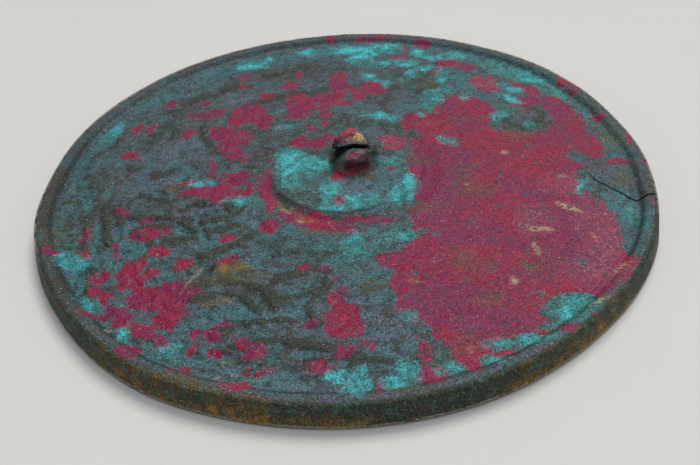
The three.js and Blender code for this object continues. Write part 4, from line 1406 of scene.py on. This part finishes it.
def ragged_edge_group() -> bpy.types.NodeTree:
    """Makes the group that turns a soft field on the mesh into a patch with a ragged edge.

    Returns:
        The node group.
    """
    tree, graph, given, result = new_group(
        "ragged edge",
        {"Field": SocketKind.NUMBER, "Raggedness": SocketKind.NUMBER, "Softness": SocketKind.NUMBER},
        {"Mask": SocketKind.NUMBER},
    )
    coarse = graph.noise(1.6, 3.0)
    fine = graph.noise(0.5, 2.0)
    both = graph.plus(graph.times(coarse, 0.6), graph.times(fine, 0.4))
    swing = graph.times(graph.math("SUBTRACT", both, 0.5), given.outputs["Raggedness"])
    moved = graph.plus(graph.math("SUBTRACT", given.outputs["Field"], 0.5), swing)
    share = graph.math("DIVIDE", moved, given.outputs["Softness"])
    clamp = graph.add("ShaderNodeClamp")
    graph.feed(clamp.inputs["Value"], graph.plus(share, 0.5))
    near_patch = graph.step(given.outputs["Field"], 0.0, 0.25)
    graph.feed(result.inputs["Mask"], graph.times(clamp.outputs[0], near_patch))
    return tree


def speckle_group() -> bpy.types.NodeTree:
    """Makes the group that covers a colour with fine light and dark grains.

    Returns:
        The node group.
    """
    tree, graph, given, result = new_group(
        "speckle",
        {"Colour": SocketKind.COLOUR, "Light Grain": SocketKind.COLOUR, "Dark Grain": SocketKind.COLOUR,
         "Strength": SocketKind.NUMBER},
        {"Colour": SocketKind.COLOUR},
    )
    strength = given.outputs["Strength"]
    shade = graph.add("ShaderNodeMapRange", clamp=False)
    graph.feed(shade.inputs["Value"], graph.noise(0.3, 2.0))
    for label, value in (("From Min", 0.32), ("From Max", 0.68), ("To Min", 0.25), ("To Max", 1.7)):
        shade.inputs[label].default_value = value
    varied = graph.mix(strength, given.outputs["Colour"],
                       graph.mix(1.0, given.outputs["Colour"], shade.outputs["Result"], "MULTIPLY"))
    light = graph.times(graph.blots(0.42, 1.0, 0.66, 0.8), strength)
    dark = graph.times(graph.blots(0.6, 2.0, 0.4, 0.24), strength)
    graph.feed(result.inputs["Colour"], graph.coated(
        varied, (light, 1, given.outputs["Light Grain"]), (dark, 1, given.outputs["Dark Grain"])))
    return tree


def two_tone_group() -> bpy.types.NodeTree:
    """Makes the group that drifts between two colours in cloudy areas.

    Returns:
        The node group.
    """
    tree, graph, given, result = new_group(
        "two tone",
        {"First": SocketKind.COLOUR, "Second": SocketKind.COLOUR, "Cloud": SocketKind.NUMBER},
        {"Colour": SocketKind.COLOUR},
    )
    share = graph.step(given.outputs["Cloud"], 0.36, 0.64)
    graph.feed(result.inputs["Colour"], graph.mix(share, given.outputs["First"], given.outputs["Second"]))
    return tree


def new_material(name: str) -> tuple[bpy.types.Material, bpy.types.Node]:
    """Makes a material and gives it together with its shader.

    Args:
        name: The material's name.

    Returns:
        The material and its shader node.
    """
    material = bpy.data.materials.new(name)
    material.use_nodes = True
    return material, next(n for n in material.node_tree.nodes if n.type == "BSDF_PRINCIPLED")


class PatinaGraph(NodeGraph):
    """A material's node graph with the effects that the colours of the patina share."""

    def __init__(self, tree: bpy.types.NodeTree) -> None:
        """Keeps the tree and makes the shared node groups.

        Args:
            tree: The material's node tree.
        """
        super().__init__(tree)
        self.ragged = ragged_edge_group()
        self.speckle = speckle_group()
        self.two_tone = two_tone_group()

    def mask(self, layer: PatinaLayer | KnobCoat, raggedness: float, softness: float) -> Socket:
        """Gives the ragged mask of a layer.

        Args:
            layer: A layer or coat whose field is kept on the mesh.
            raggedness: How far its edge strays, as a share of the field.
            softness: How wide its edge is, as a share of the field.

        Returns:
            The mask, from 0 to 1.
        """
        node = self.group(self.ragged, Field=self.attribute(layer.name), Raggedness=raggedness,
                          Softness=softness)
        return node.outputs["Mask"]

    def cloudy(self, first: Colour, second: Colour, size_mm: float) -> Socket:
        """Gives a colour that drifts between two others."""
        node = self.group(self.two_tone, First=first, Second=second, Cloud=self.noise(size_mm, 4.0))
        return node.outputs["Colour"]

    def grained(self, colour: Feed, light: Colour, dark: Colour, strength: float) -> Socket:
        """Gives a colour covered with grains.

        Args:
            colour: The colour.
            light: Colour of the light grains.
            dark: Colour of the dark grains.
            strength: How strong the grains are, from 0 to 1.

        Returns:
            The grained colour.
        """
        node = self.group(self.speckle, Colour=colour, Light_Grain=light, Dark_Grain=dark,
                          Strength=strength)
        return node.outputs["Colour"]


@dataclass(frozen=True)
class BronzePatina:
    """The finish of the corroded casting, with painted shade, sheen, highlight and rim light among its
    colours. Colours are linear.
    """

    slate: Colour = (0.066, 0.106, 0.124)
    dusk: Colour = (0.085, 0.086, 0.108)
    earth_and_shade: Colour = (0.038, 0.042, 0.031)
    # Dark soil brown, also used for the painted shade in the platform's trough.
    dull_teal: Colour = (0.045, 0.17, 0.195)
    teal: Colour = (0.075, 0.5, 0.54)
    deep_teal: Colour = (0.04, 0.21, 0.215)
    jade: Colour = (0.045, 0.27, 0.245)
    crimson: Colour = (0.29, 0.01, 0.042)
    magenta: Colour = (0.2, 0.016, 0.075)
    plum: Colour = (0.13, 0.035, 0.11)
    # Pale rose of the painted sheen.
    sheen_pink: Colour = (0.34, 0.14, 0.17)
    glint: Colour = (0.62, 0.52, 0.46)
    amber: Colour = (0.27, 0.15, 0.03)
    mud: Colour = (0.085, 0.06, 0.035)
    rust: Colour = (0.13, 0.035, 0.025)
    moss: Colour = (0.036, 0.052, 0.034)
    olive: Colour = (0.1, 0.088, 0.035)
    ochre: Colour = (0.27, 0.145, 0.028)
    bracken: Colour = (0.075, 0.066, 0.032)
    tan: Colour = (0.42, 0.36, 0.2)
    # Pale tan of the painted rim light along the outline; also the light grain of the reflecting face.
    pale_grain_and_rim_light: Colour = (0.28, 0.265, 0.2)
    dark: Colour = (0.015, 0.016, 0.014)
    verdigris: Colour = (0.055, 0.15, 0.13)
    # Bluish mauve, partly painted highlight.
    lilac_sheen: Colour = (0.12, 0.135, 0.2)
    umber: Colour = (0.062, 0.052, 0.046)
    face_bronze: Colour = (0.1, 0.085, 0.055)
    face_green: Colour = (0.05, 0.085, 0.075)
    grey_grain: Colour = (0.24, 0.27, 0.29)
    olive_grain: Colour = (0.3, 0.24, 0.1)
    amber_grain: Colour = (0.55, 0.42, 0.12)
    side_grain: Colour = (0.3, 0.22, 0.1)
    teal_grain: Colour = (0.3, 0.75, 0.74)
    teal_hollow: Colour = (0.03, 0.12, 0.13)
    red_grain: Colour = (0.52, 0.17, 0.22)
    red_hollow: Colour = (0.045, 0.012, 0.018)
    roughness: Colour = (0.62, 0.62, 0.62)
    red_roughness: Colour = (0.54, 0.54, 0.54)
    teal_roughness: Colour = (0.8, 0.8, 0.8)
    face_roughness: Colour = (0.4, 0.4, 0.4)
    shine: float = 0.2
    grain_strength: float = 0.9
    grain_height: float = 0.16

    def ground(self, graph: PatinaGraph, level: Feed) -> Feed:
        """Gives the slate, teal and earthy colours that lie under the crust, with painted shade in the rim's
        groove and the platform's trough.

        Args:
            graph: The graph that the nodes are added to.
            level: How high the relief stands, 0.5 on the plain field.

        Returns:
            The ground's colour.
        """
        wash = graph.times(graph.mask(TEAL_WASH, 2.0, 0.9), 0.85)
        hollow = graph.times(graph.step(level, 0.46, 0.22), 0.6)
        colour = graph.coated(
            graph.cloudy(self.slate, self.dusk, 6.0),
            (graph.math("MAXIMUM", wash, hollow), 1, self.dull_teal),
            (graph.mask(JADE, 2.2, 0.8), 0.85, self.jade),
            # Bluish-mauve tint, partly painted highlight.
            (graph.mask(LILAC_SHEEN, 0.9, 0.9), 0.6, self.lilac_sheen),
            (graph.blots(1.1, 3.0, 0.5, 0.64), 0.5, self.verdigris),
            (graph.blots(1.7, 4.0, 0.5, 0.62), 0.6, self.moss),
            (graph.step(level, 0.54, 0.76), 0.85, self.earth_and_shade),
            # Dark bands, with painted shade in the trough on the far side of the platform.
            (graph.times(graph.mask(EARTH_AND_SHADE, 1.8, 0.9), graph.blots(2.0, 4.0, 0.34, 0.6)), 1, self.earth_and_shade),
            (graph.times(graph.attribute("crest"), graph.blots(6.0, 4.0, 0.2, 0.52)), 0.85, self.umber),
            # Painted shade in the groove inside the rim.
            (graph.attribute("groove"), 0.75, self.dark),
        )
        return graph.grained(colour, self.grey_grain, self.dark, 0.9)

    def crust(self, graph: PatinaGraph, olive: Feed) -> Feed:
        """Gives the crimson crust's colour.

        Args:
            graph: The graph that the nodes are added to.
            olive: Where the crust is stained olive.

        Returns:
            The crust's colour.
        """
        colour = graph.coated(
            graph.cloudy(self.crimson, self.magenta, 7.0),
            # Painted sheen on the crust.
            (graph.mask(PAINTED_SHEEN, 2.0, 1.0), 0.34, self.sheen_pink),
            (olive, 0.6, self.olive),
            (graph.blots(0.9, 3.0, 0.48, 0.66), 0.6, self.plum),
            (graph.blots(1.8, 4.0, 0.58, 0.68), 0.55, self.mud),
        )
        return graph.grained(colour, self.red_grain, self.red_hollow, 0.85)

    def side(self, graph: PatinaGraph) -> Feed:
        """Gives the colour of the disc's side.

        Args:
            graph: The graph that the nodes are added to.

        Returns:
            The side's colour.
        """
        low = graph.times(graph.times(graph.attribute("side_low"), graph.noise(4.0, 4.0)), 0.7)
        rusting = graph.plus(graph.times(graph.mask(SIDE_OCHRE, 2.0, 1.0), 0.6), low)
        colour = graph.coated(
            graph.cloudy(self.moss, self.earth_and_shade, 2.4),
            (graph.step(rusting, 0.3, 0.75), 1, graph.cloudy(self.ochre, self.bracken, 1.6)),
            (graph.blots(1.3, 3.0, 0.52, 0.64), 0.45, self.verdigris),
        )
        colour = graph.grained(colour, self.side_grain, self.dark, 0.9)
        return graph.coated(colour, (graph.blots(1.6, 2.0, 0.62, 0.7), 0.6, self.rust))

    def knob_coat(self, graph: PatinaGraph, coat: KnobCoat) -> tuple[Feed, float, Feed]:
        """Gives the mask, strength and grained colour of one coat on the knob.

        Args:
            graph: The graph that the nodes are added to.
            coat: The coat.

        Returns:
            What the coated colour needs of it.
        """
        light = tuple(min(1.0, 1.7 * channel + 0.04) for channel in coat.colour)
        shade = tuple(0.25 * channel for channel in coat.colour)
        return graph.mask(coat, 1.4, 0.6), 1, graph.grained(coat.colour, light, shade, 0.7)

    def colour(self, graph: PatinaGraph, red: Feed, teal: Feed) -> Feed:
        """Gives the colour of the whole casting.

        Args:
            graph: The graph that the nodes are added to.
            red: Where the crimson crust is.
            teal: Where the bright teal is.

        Returns:
            The casting's colour.
        """
        uneven = graph.times(graph.math("SUBTRACT", graph.noise(1.5, 3.0), 0.5), 0.5)
        olive = graph.times(graph.mask(OLIVE, 1.4, 0.7), 0.8)
        ground = self.ground(graph, graph.plus(graph.attribute("ridge"), uneven))
        bright = graph.cloudy(self.teal, self.deep_teal, 2.4)
        clusters = graph.plus(graph.times(graph.noise(4.0, 2.0), 0.3),
                              graph.times(graph.attribute(PAINTED_SHEEN.name), 0.05))
        glints = graph.step(graph.plus(graph.noise(0.34, 0.0), clusters), 0.93, 1.02)
        flaked = graph.times(graph.mask(TAN, 1.6, 0.7), graph.blots(0.7, 2.0, 0.38, 0.56))
        # Painted rim light along the outline, broken up by noise.
        wear = graph.times(graph.attribute("edge_wear"), graph.blots(1.6, 4.0, 0.22, 0.55))
        face = graph.grained(graph.cloudy(self.face_bronze, self.face_green, 18.0), self.pale_grain_and_rim_light, self.dark,
                             0.45)
        face = graph.coated(face, (graph.blots(14.0, 5.0, 0.54, 0.62), 0.7, self.magenta))
        return graph.coated(
            ground,
            (olive, 1, graph.grained(self.olive, self.olive_grain, self.dark, 0.8)),
            (red, 1, self.crust(graph, olive)),
            (graph.mask(AMBER, 2.4, 0.8), 0.7, graph.grained(self.amber, self.amber_grain, self.dark, 0.9)),
            (teal, 1, graph.grained(bright, self.teal_grain, self.teal_hollow, 0.85)),
            (glints, 0.6, self.glint),
            (graph.mask(FISSURE, 0.9, 0.7), 0.85, self.dark),
            (flaked, 0.85, self.tan),
            (graph.step(graph.plus(graph.attribute("side"), uneven), 0.4, 0.7), 1, self.side(graph)),
            # Painted rim light.
            (graph.step(wear, 0.2, 0.7), 0.85, graph.grained(self.pale_grain_and_rim_light, self.pale_grain_and_rim_light, self.bracken, 0.8)),
            *(self.knob_coat(graph, coat) for coat in KNOB_COATS),
            (graph.attribute("face"), 1, face),
        )

    def material(self) -> bpy.types.Material:
        """Makes the material.

        Returns:
            The finished material.
        """
        material, shader = new_material("patinated_bronze")
        graph = PatinaGraph(material.node_tree)
        gaps = graph.times(graph.blots(3.2, 5.0, 0.61, 0.68), 0.6)
        red = graph.times(graph.mask(CRIMSON, 1.6, 0.26), graph.math("SUBTRACT", 1.0, gaps))
        teal = graph.mask(TEAL, 2.2, 0.8)
        graph.feed(shader.inputs["Base Color"], self.colour(graph, red, teal))
        rough = graph.coated(self.roughness, (red, 1, self.red_roughness), (teal, 1, self.teal_roughness),
                             (graph.attribute("face"), 1, self.face_roughness))
        graph.feed(shader.inputs["Roughness"], graph.mix(0.35, rough, graph.noise(0.5, 2.0), "OVERLAY"))
        shader.inputs["Metallic"].default_value = 0.0
        shader.inputs["Specular IOR Level"].default_value = self.shine
        grains = graph.plus(graph.times(graph.noise(0.4, 2.0), 0.6), graph.times(graph.noise(1.1, 3.0), 0.4))
        bump = graph.add("ShaderNodeBump")
        bump.inputs["Strength"].default_value = self.grain_strength
        bump.inputs["Distance"].default_value = self.grain_height * METRES_PER_MM
        graph.feed(bump.inputs["Height"], graph.plus(grains, graph.times(teal, 0.4)))
        graph.feed(shader.inputs["Normal"], bump.outputs["Normal"])
        return material


@dataclass
class Casting:
    """The whole mirror as one fine casting."""

    disc: Disc
    knob: Knob
    crack: RimCrack
    finish: BronzePatina
    sharp_from_degrees: float = 48.0
    layers: tuple[PatinaLayer, ...] = (
        CRIMSON, TEAL, TEAL_WASH, JADE, OLIVE, EARTH_AND_SHADE, LILAC_SHEEN, SIDE_OCHRE, PAINTED_SHEEN, TAN, AMBER, FISSURE)

    def shape(self) -> bpy.types.Object:
        """Makes the mesh: the disc with its knob, cord hole, break and crack.

        Returns:
            The whole casting in plain metal.
        """
        casting = joined(self.disc.build(), self.knob.dome(), Join.ADD)
        casting = joined(casting, self.knob.cord_hole(), Join.CUT)
        casting = joined(casting, self.knob.lost_bridge(), Join.CUT)
        casting = joined(casting, self.crack.build(), Join.CUT)
        casting.name = "mirror_casting"
        casting.data.name = "mirror_casting"
        casting.data.shade_smooth()
        casting.data.set_sharp_from_angle(angle=math.radians(self.sharp_from_degrees))
        return casting

    def keep(self, mesh: bpy.types.Mesh, **fields: np.ndarray) -> None:
        """Keeps numbers for each vertex on the mesh, under their names.

        Args:
            mesh: The mesh.
            fields: For each name, one number for each vertex.
        """
        for name, values in fields.items():
            kept = mesh.attributes.new(name, "FLOAT", "POINT")
            kept.data.foreach_set("value", values.astype(np.float32))

    def keep_patina(self, mesh: bpy.types.Mesh, points: np.ndarray, back: np.ndarray) -> None:
        """Keeps the fields of the patina's layers and of the knob's coats, painted shade and highlight among
        them.

        Args:
            mesh: The casting's mesh.
            points: Its vertices in millimetres.
            back: 1 on the decorated back and 0 on the reflecting face.
        """
        for layer in self.layers:
            self.keep(mesh, **{layer.name: back * layer.field(points, self.disc.radius)})
        reach = np.hypot(points[:, 0] - self.knob.centre_x, points[:, 1] - self.knob.centre_y)
        near_knob = np.flatnonzero(reach < self.knob.depth)
        for coat in KNOB_COATS:
            covered = np.zeros(len(points))
            covered[near_knob] = coat.field(points[near_knob])
            self.keep(mesh, **{coat.name: covered})

    def keep_forms(self, mesh: bpy.types.Mesh, points: np.ndarray, back: np.ndarray) -> None:
        """Keeps where the relief, the rim's crest and the side are, with the painted shade in the groove and
        the painted rim light along the outer edges.

        Args:
            mesh: The casting's mesh.
            points: Its vertices in millimetres.
            back: 1 on the decorated back and 0 on the reflecting face.
        """
        disc = self.disc
        x, y = (points[:, :2] / disc.radius).T
        reach, height = np.hypot(points[:, 0], points[:, 1]), points[:, 2]
        inside = disc.radius + disc.swell_at(np.arctan2(y, x)) - reach
        near, far = smoothstep(0.1, -0.4, y), smoothstep(0.2, 0.6, y)
        left = smoothstep(-0.1, -0.5, x) * smoothstep(-0.75, -0.5, y) * smoothstep(0.5, 0.15, y)
        relief = 1.2 * disc.relief.heights(points[:, :2], disc.radius) / disc.relief.height
        on_field = smoothstep(disc.field_inner - 1, disc.field_inner + 2, reach)
        on_field *= smoothstep(4.0, 5.5, inside)
        crest_height = disc.rim_height - disc.crest_camber
        below_crest = smoothstep(1.2 + 0.9 * near, 0.6 + 0.6 * near, inside)
        below_crest *= smoothstep(crest_height + 0.3, crest_height - 0.1 + 0.1 * near, height)
        # Painted rim light: a pale line along the upper outer edge of the far side and round the foot, where
        # light grazes the outline.
        outer_edge = np.exp(-(((inside - disc.side_lean - 0.35 * far) / (0.5 + 0.1 * far)) ** 2))
        outer_edge *= smoothstep(crest_height - 1.2, crest_height - 0.6, height)
        outer_edge *= smoothstep(-0.6, -0.1, y)
        foot = smoothstep(1.0, 0.65, height) * smoothstep(1.2, 0.7, inside)
        crest_end = disc.side_lean + disc.crest_width
        crest = smoothstep(disc.side_lean, disc.side_lean + 0.5, inside)
        crest *= smoothstep(crest_end + 0.5, crest_end - 0.1, inside)
        # Painted shade: the groove inside the rim is darkened in colour, most on the near and left sides.
        shaded = 0.35 + 0.65 * np.maximum(smoothstep(0.1, -0.3, y), left)
        from_groove = (inside - crest_end - disc.inner_slope_run / 2) / (0.42 + 0.35 * left)
        self.keep(
            mesh,
            face=1 - back,
            ridge=0.5 + 0.5 * np.clip(relief, -1, 1) * on_field,
            side=below_crest,
            side_low=smoothstep(crest_height - 0.8, 0.6, height),
            crest=crest * back * (0.3 + 0.7 * left),
            groove=np.exp(-(from_groove**2)) * back * shaded,
            edge_wear=np.maximum(outer_edge, foot),
        )

    def dress(self, casting: bpy.types.Object) -> None:
        """Keeps the patina's fields on the mesh and gives it its material.

        Args:
            casting: The finished mesh object.
        """
        mesh = casting.data
        points = np.empty(len(mesh.vertices) * 3, np.float32)
        mesh.vertices.foreach_get("co", points)
        points = points.reshape(-1, 3).astype(float) / METRES_PER_MM
        back = smoothstep(0.1, 0.5, points[:, 2])
        self.keep_patina(mesh, points, back)
        self.keep_forms(mesh, points, back)
        mesh.materials.clear()
        mesh.materials.append(self.finish.material())

    def build(self) -> bpy.types.Object:
        """Makes and dresses the casting, and says what it stands for.

        Returns:
            The finished casting.
        """
        casting = self.shape()
        self.dress(casting)
        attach(casting, "root")
        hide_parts("mirror")
        return casting


class Lamp(Enum):
    """The two kinds of soft light."""

    PANEL = "AREA"
    FAR = "SUN"


@dataclass(frozen=True)
class Studio:
    """Pale floor, soft lights and surroundings. Sizes are in metres, powers in watts."""

    floor_size: float = 40.0
    floor_colour: Colour = (0.72, 0.71, 0.69)
    floor_drop: float = 0.00005
    floor_cloud_mm: float = 60.0
    floor_paler: float = 1.04
    floor_roughness: float = 0.85
    surround: Colour = (0.9, 0.93, 1.0)
    surround_strength: float = 0.24

    def floor(self) -> bpy.types.Object:
        """Makes the floor just under the mirror.

        Returns:
            The floor's object.
        """
        half = self.floor_size / 2 / METRES_PER_MM
        drop = -self.floor_drop / METRES_PER_MM
        corners = np.array([(x, y, drop) for x, y in ((-half, -half), (half, -half),
                                                      (half, half), (-half, half))])
        floor = mesh_object("floor", corners, [(0, 1, 2, 3)])
        material, shader = new_material("pale_floor")
        graph = NodeGraph(material.node_tree)
        paler = tuple(channel * self.floor_paler for channel in self.floor_colour)
        cloud = graph.noise(self.floor_cloud_mm, 2.0)
        graph.feed(shader.inputs["Base Color"], graph.mix(cloud, self.floor_colour, paler))
        shader.inputs["Roughness"].default_value = self.floor_roughness
        floor.data.materials.append(material)
        return floor

    def lamp(self, name: str, kind: Lamp, place: Place, spread: float, power: float,
             colour: Colour = (1.0, 1.0, 1.0)) -> bpy.types.Object:
        """Makes a soft light that points at the mirror.

        Args:
            name: The light's name.
            kind: A square panel near the mirror, or even light from far away.
            place: Where it hangs, in metres.
            spread: Side of the panel in metres, or width of the far light in degrees.
            power: Power of the panel in watts, or strength of the far light.
            colour: Its colour.

        Returns:
            The light's object.
        """
        light = bpy.data.lights.new(name, kind.value)
        if kind is Lamp.PANEL:
            light.size = spread
        else:
            light.angle = math.radians(spread)
        light.energy = power
        light.color = colour
        lamp = bpy.data.objects.new(name, light)
        lamp.location = place
        lamp.rotation_euler = (-Vector(place)).to_track_quat("-Z", "Y").to_euler()
        bpy.context.scene.collection.objects.link(lamp)
        return lamp

    def build(self) -> None:
        """Makes the floor, the lights and the surroundings."""
        self.floor()
        self.lamp("key", Lamp.FAR, (0.14, 0.36, 0.6), 26.0, 1.75, (1.0, 0.98, 0.95))
        self.lamp("overhead", Lamp.PANEL, (0.05, 0.0, 0.7), 0.6, 1.0)
        self.lamp("left_fill", Lamp.PANEL, (-0.9, -0.63, 0.8), 0.9, 0.75, (0.92, 0.96, 1.0))
        self.lamp("right_fill", Lamp.PANEL, (0.95, -0.85, 0.7), 0.8, 1.8, (1.0, 0.98, 0.94))
        world = bpy.data.worlds.new("surroundings")
        world.use_nodes = True
        background = next(n for n in world.node_tree.nodes if n.type == "BACKGROUND")
        background.inputs["Color"].default_value = (*self.surround, 1.0)
        background.inputs["Strength"].default_value = self.surround_strength
        bpy.context.scene.world = world
        bpy.context.scene.view_settings.view_transform = "Standard"


@dataclass(frozen=True)
class PhotoCamera:
    """The camera at the photograph's viewing angle, aimed from the middle of the rim's top."""

    aim_height: float = 0.0046
    distance: float = 0.1656
    elevation: float = 34.9
    pan: float = 0.18
    tilt: float = -4.45
    roll: float = -3.6
    focal_pixels: float = 835.0
    photo_width: int = 700
    sensor_width: float = 36.0
    nearest: float = 0.005

    def build(self) -> bpy.types.Object:
        """Makes the camera and looks through it.

        Returns:
            The camera's object.
        """
        elevation, pan, tilt, roll = (
            math.radians(angle) for angle in (self.elevation, self.pan, self.tilt, self.roll))
        forward = Vector((0, math.cos(elevation), -math.sin(elevation)))
        right = Vector((1, 0, 0))
        up = right.cross(forward)
        aim = (forward + math.tan(pan) * right + math.tan(tilt) * up).normalized()
        level = aim.cross(Vector((0, 0, 1))).normalized()
        upright = level.cross(aim)
        side = math.cos(roll) * level + math.sin(roll) * upright
        top = -math.sin(roll) * level + math.cos(roll) * upright
        place = -self.distance * forward + Vector((0, 0, self.aim_height))
        camera = bpy.data.objects.new("camera", bpy.data.cameras.new("camera"))
        turn = Matrix((side, top, -aim)).transposed().to_4x4()
        camera.matrix_world = Matrix.Translation(place) @ turn
        camera.data.lens = self.focal_pixels / self.photo_width * self.sensor_width
        camera.data.sensor_width = self.sensor_width
        camera.data.clip_start = self.nearest
        bpy.context.scene.collection.objects.link(camera)
        bpy.context.scene.camera = camera
        return camera


def main() -> None:
    """Makes the camera, the casting and the studio in order."""
    logging.basicConfig(level=logging.INFO, format="%(message)s")
    PhotoCamera().build()
    disc = Disc()
    casting = Casting(
        disc=disc,
        knob=Knob(foot_height=disc.foot_height, field_height=disc.field_height),
        crack=RimCrack(disc.radius, top=disc.rim_height + 1, bottom=disc.field_height - 2.4),
        finish=BronzePatina(),
    ).build()
    LOG.info("%s: %d triangles", casting.name, len(casting.data.loop_triangles))
    Studio().build()
    LOG.info("studio: floor and four lights")


if __name__ == "__main__":
    main()
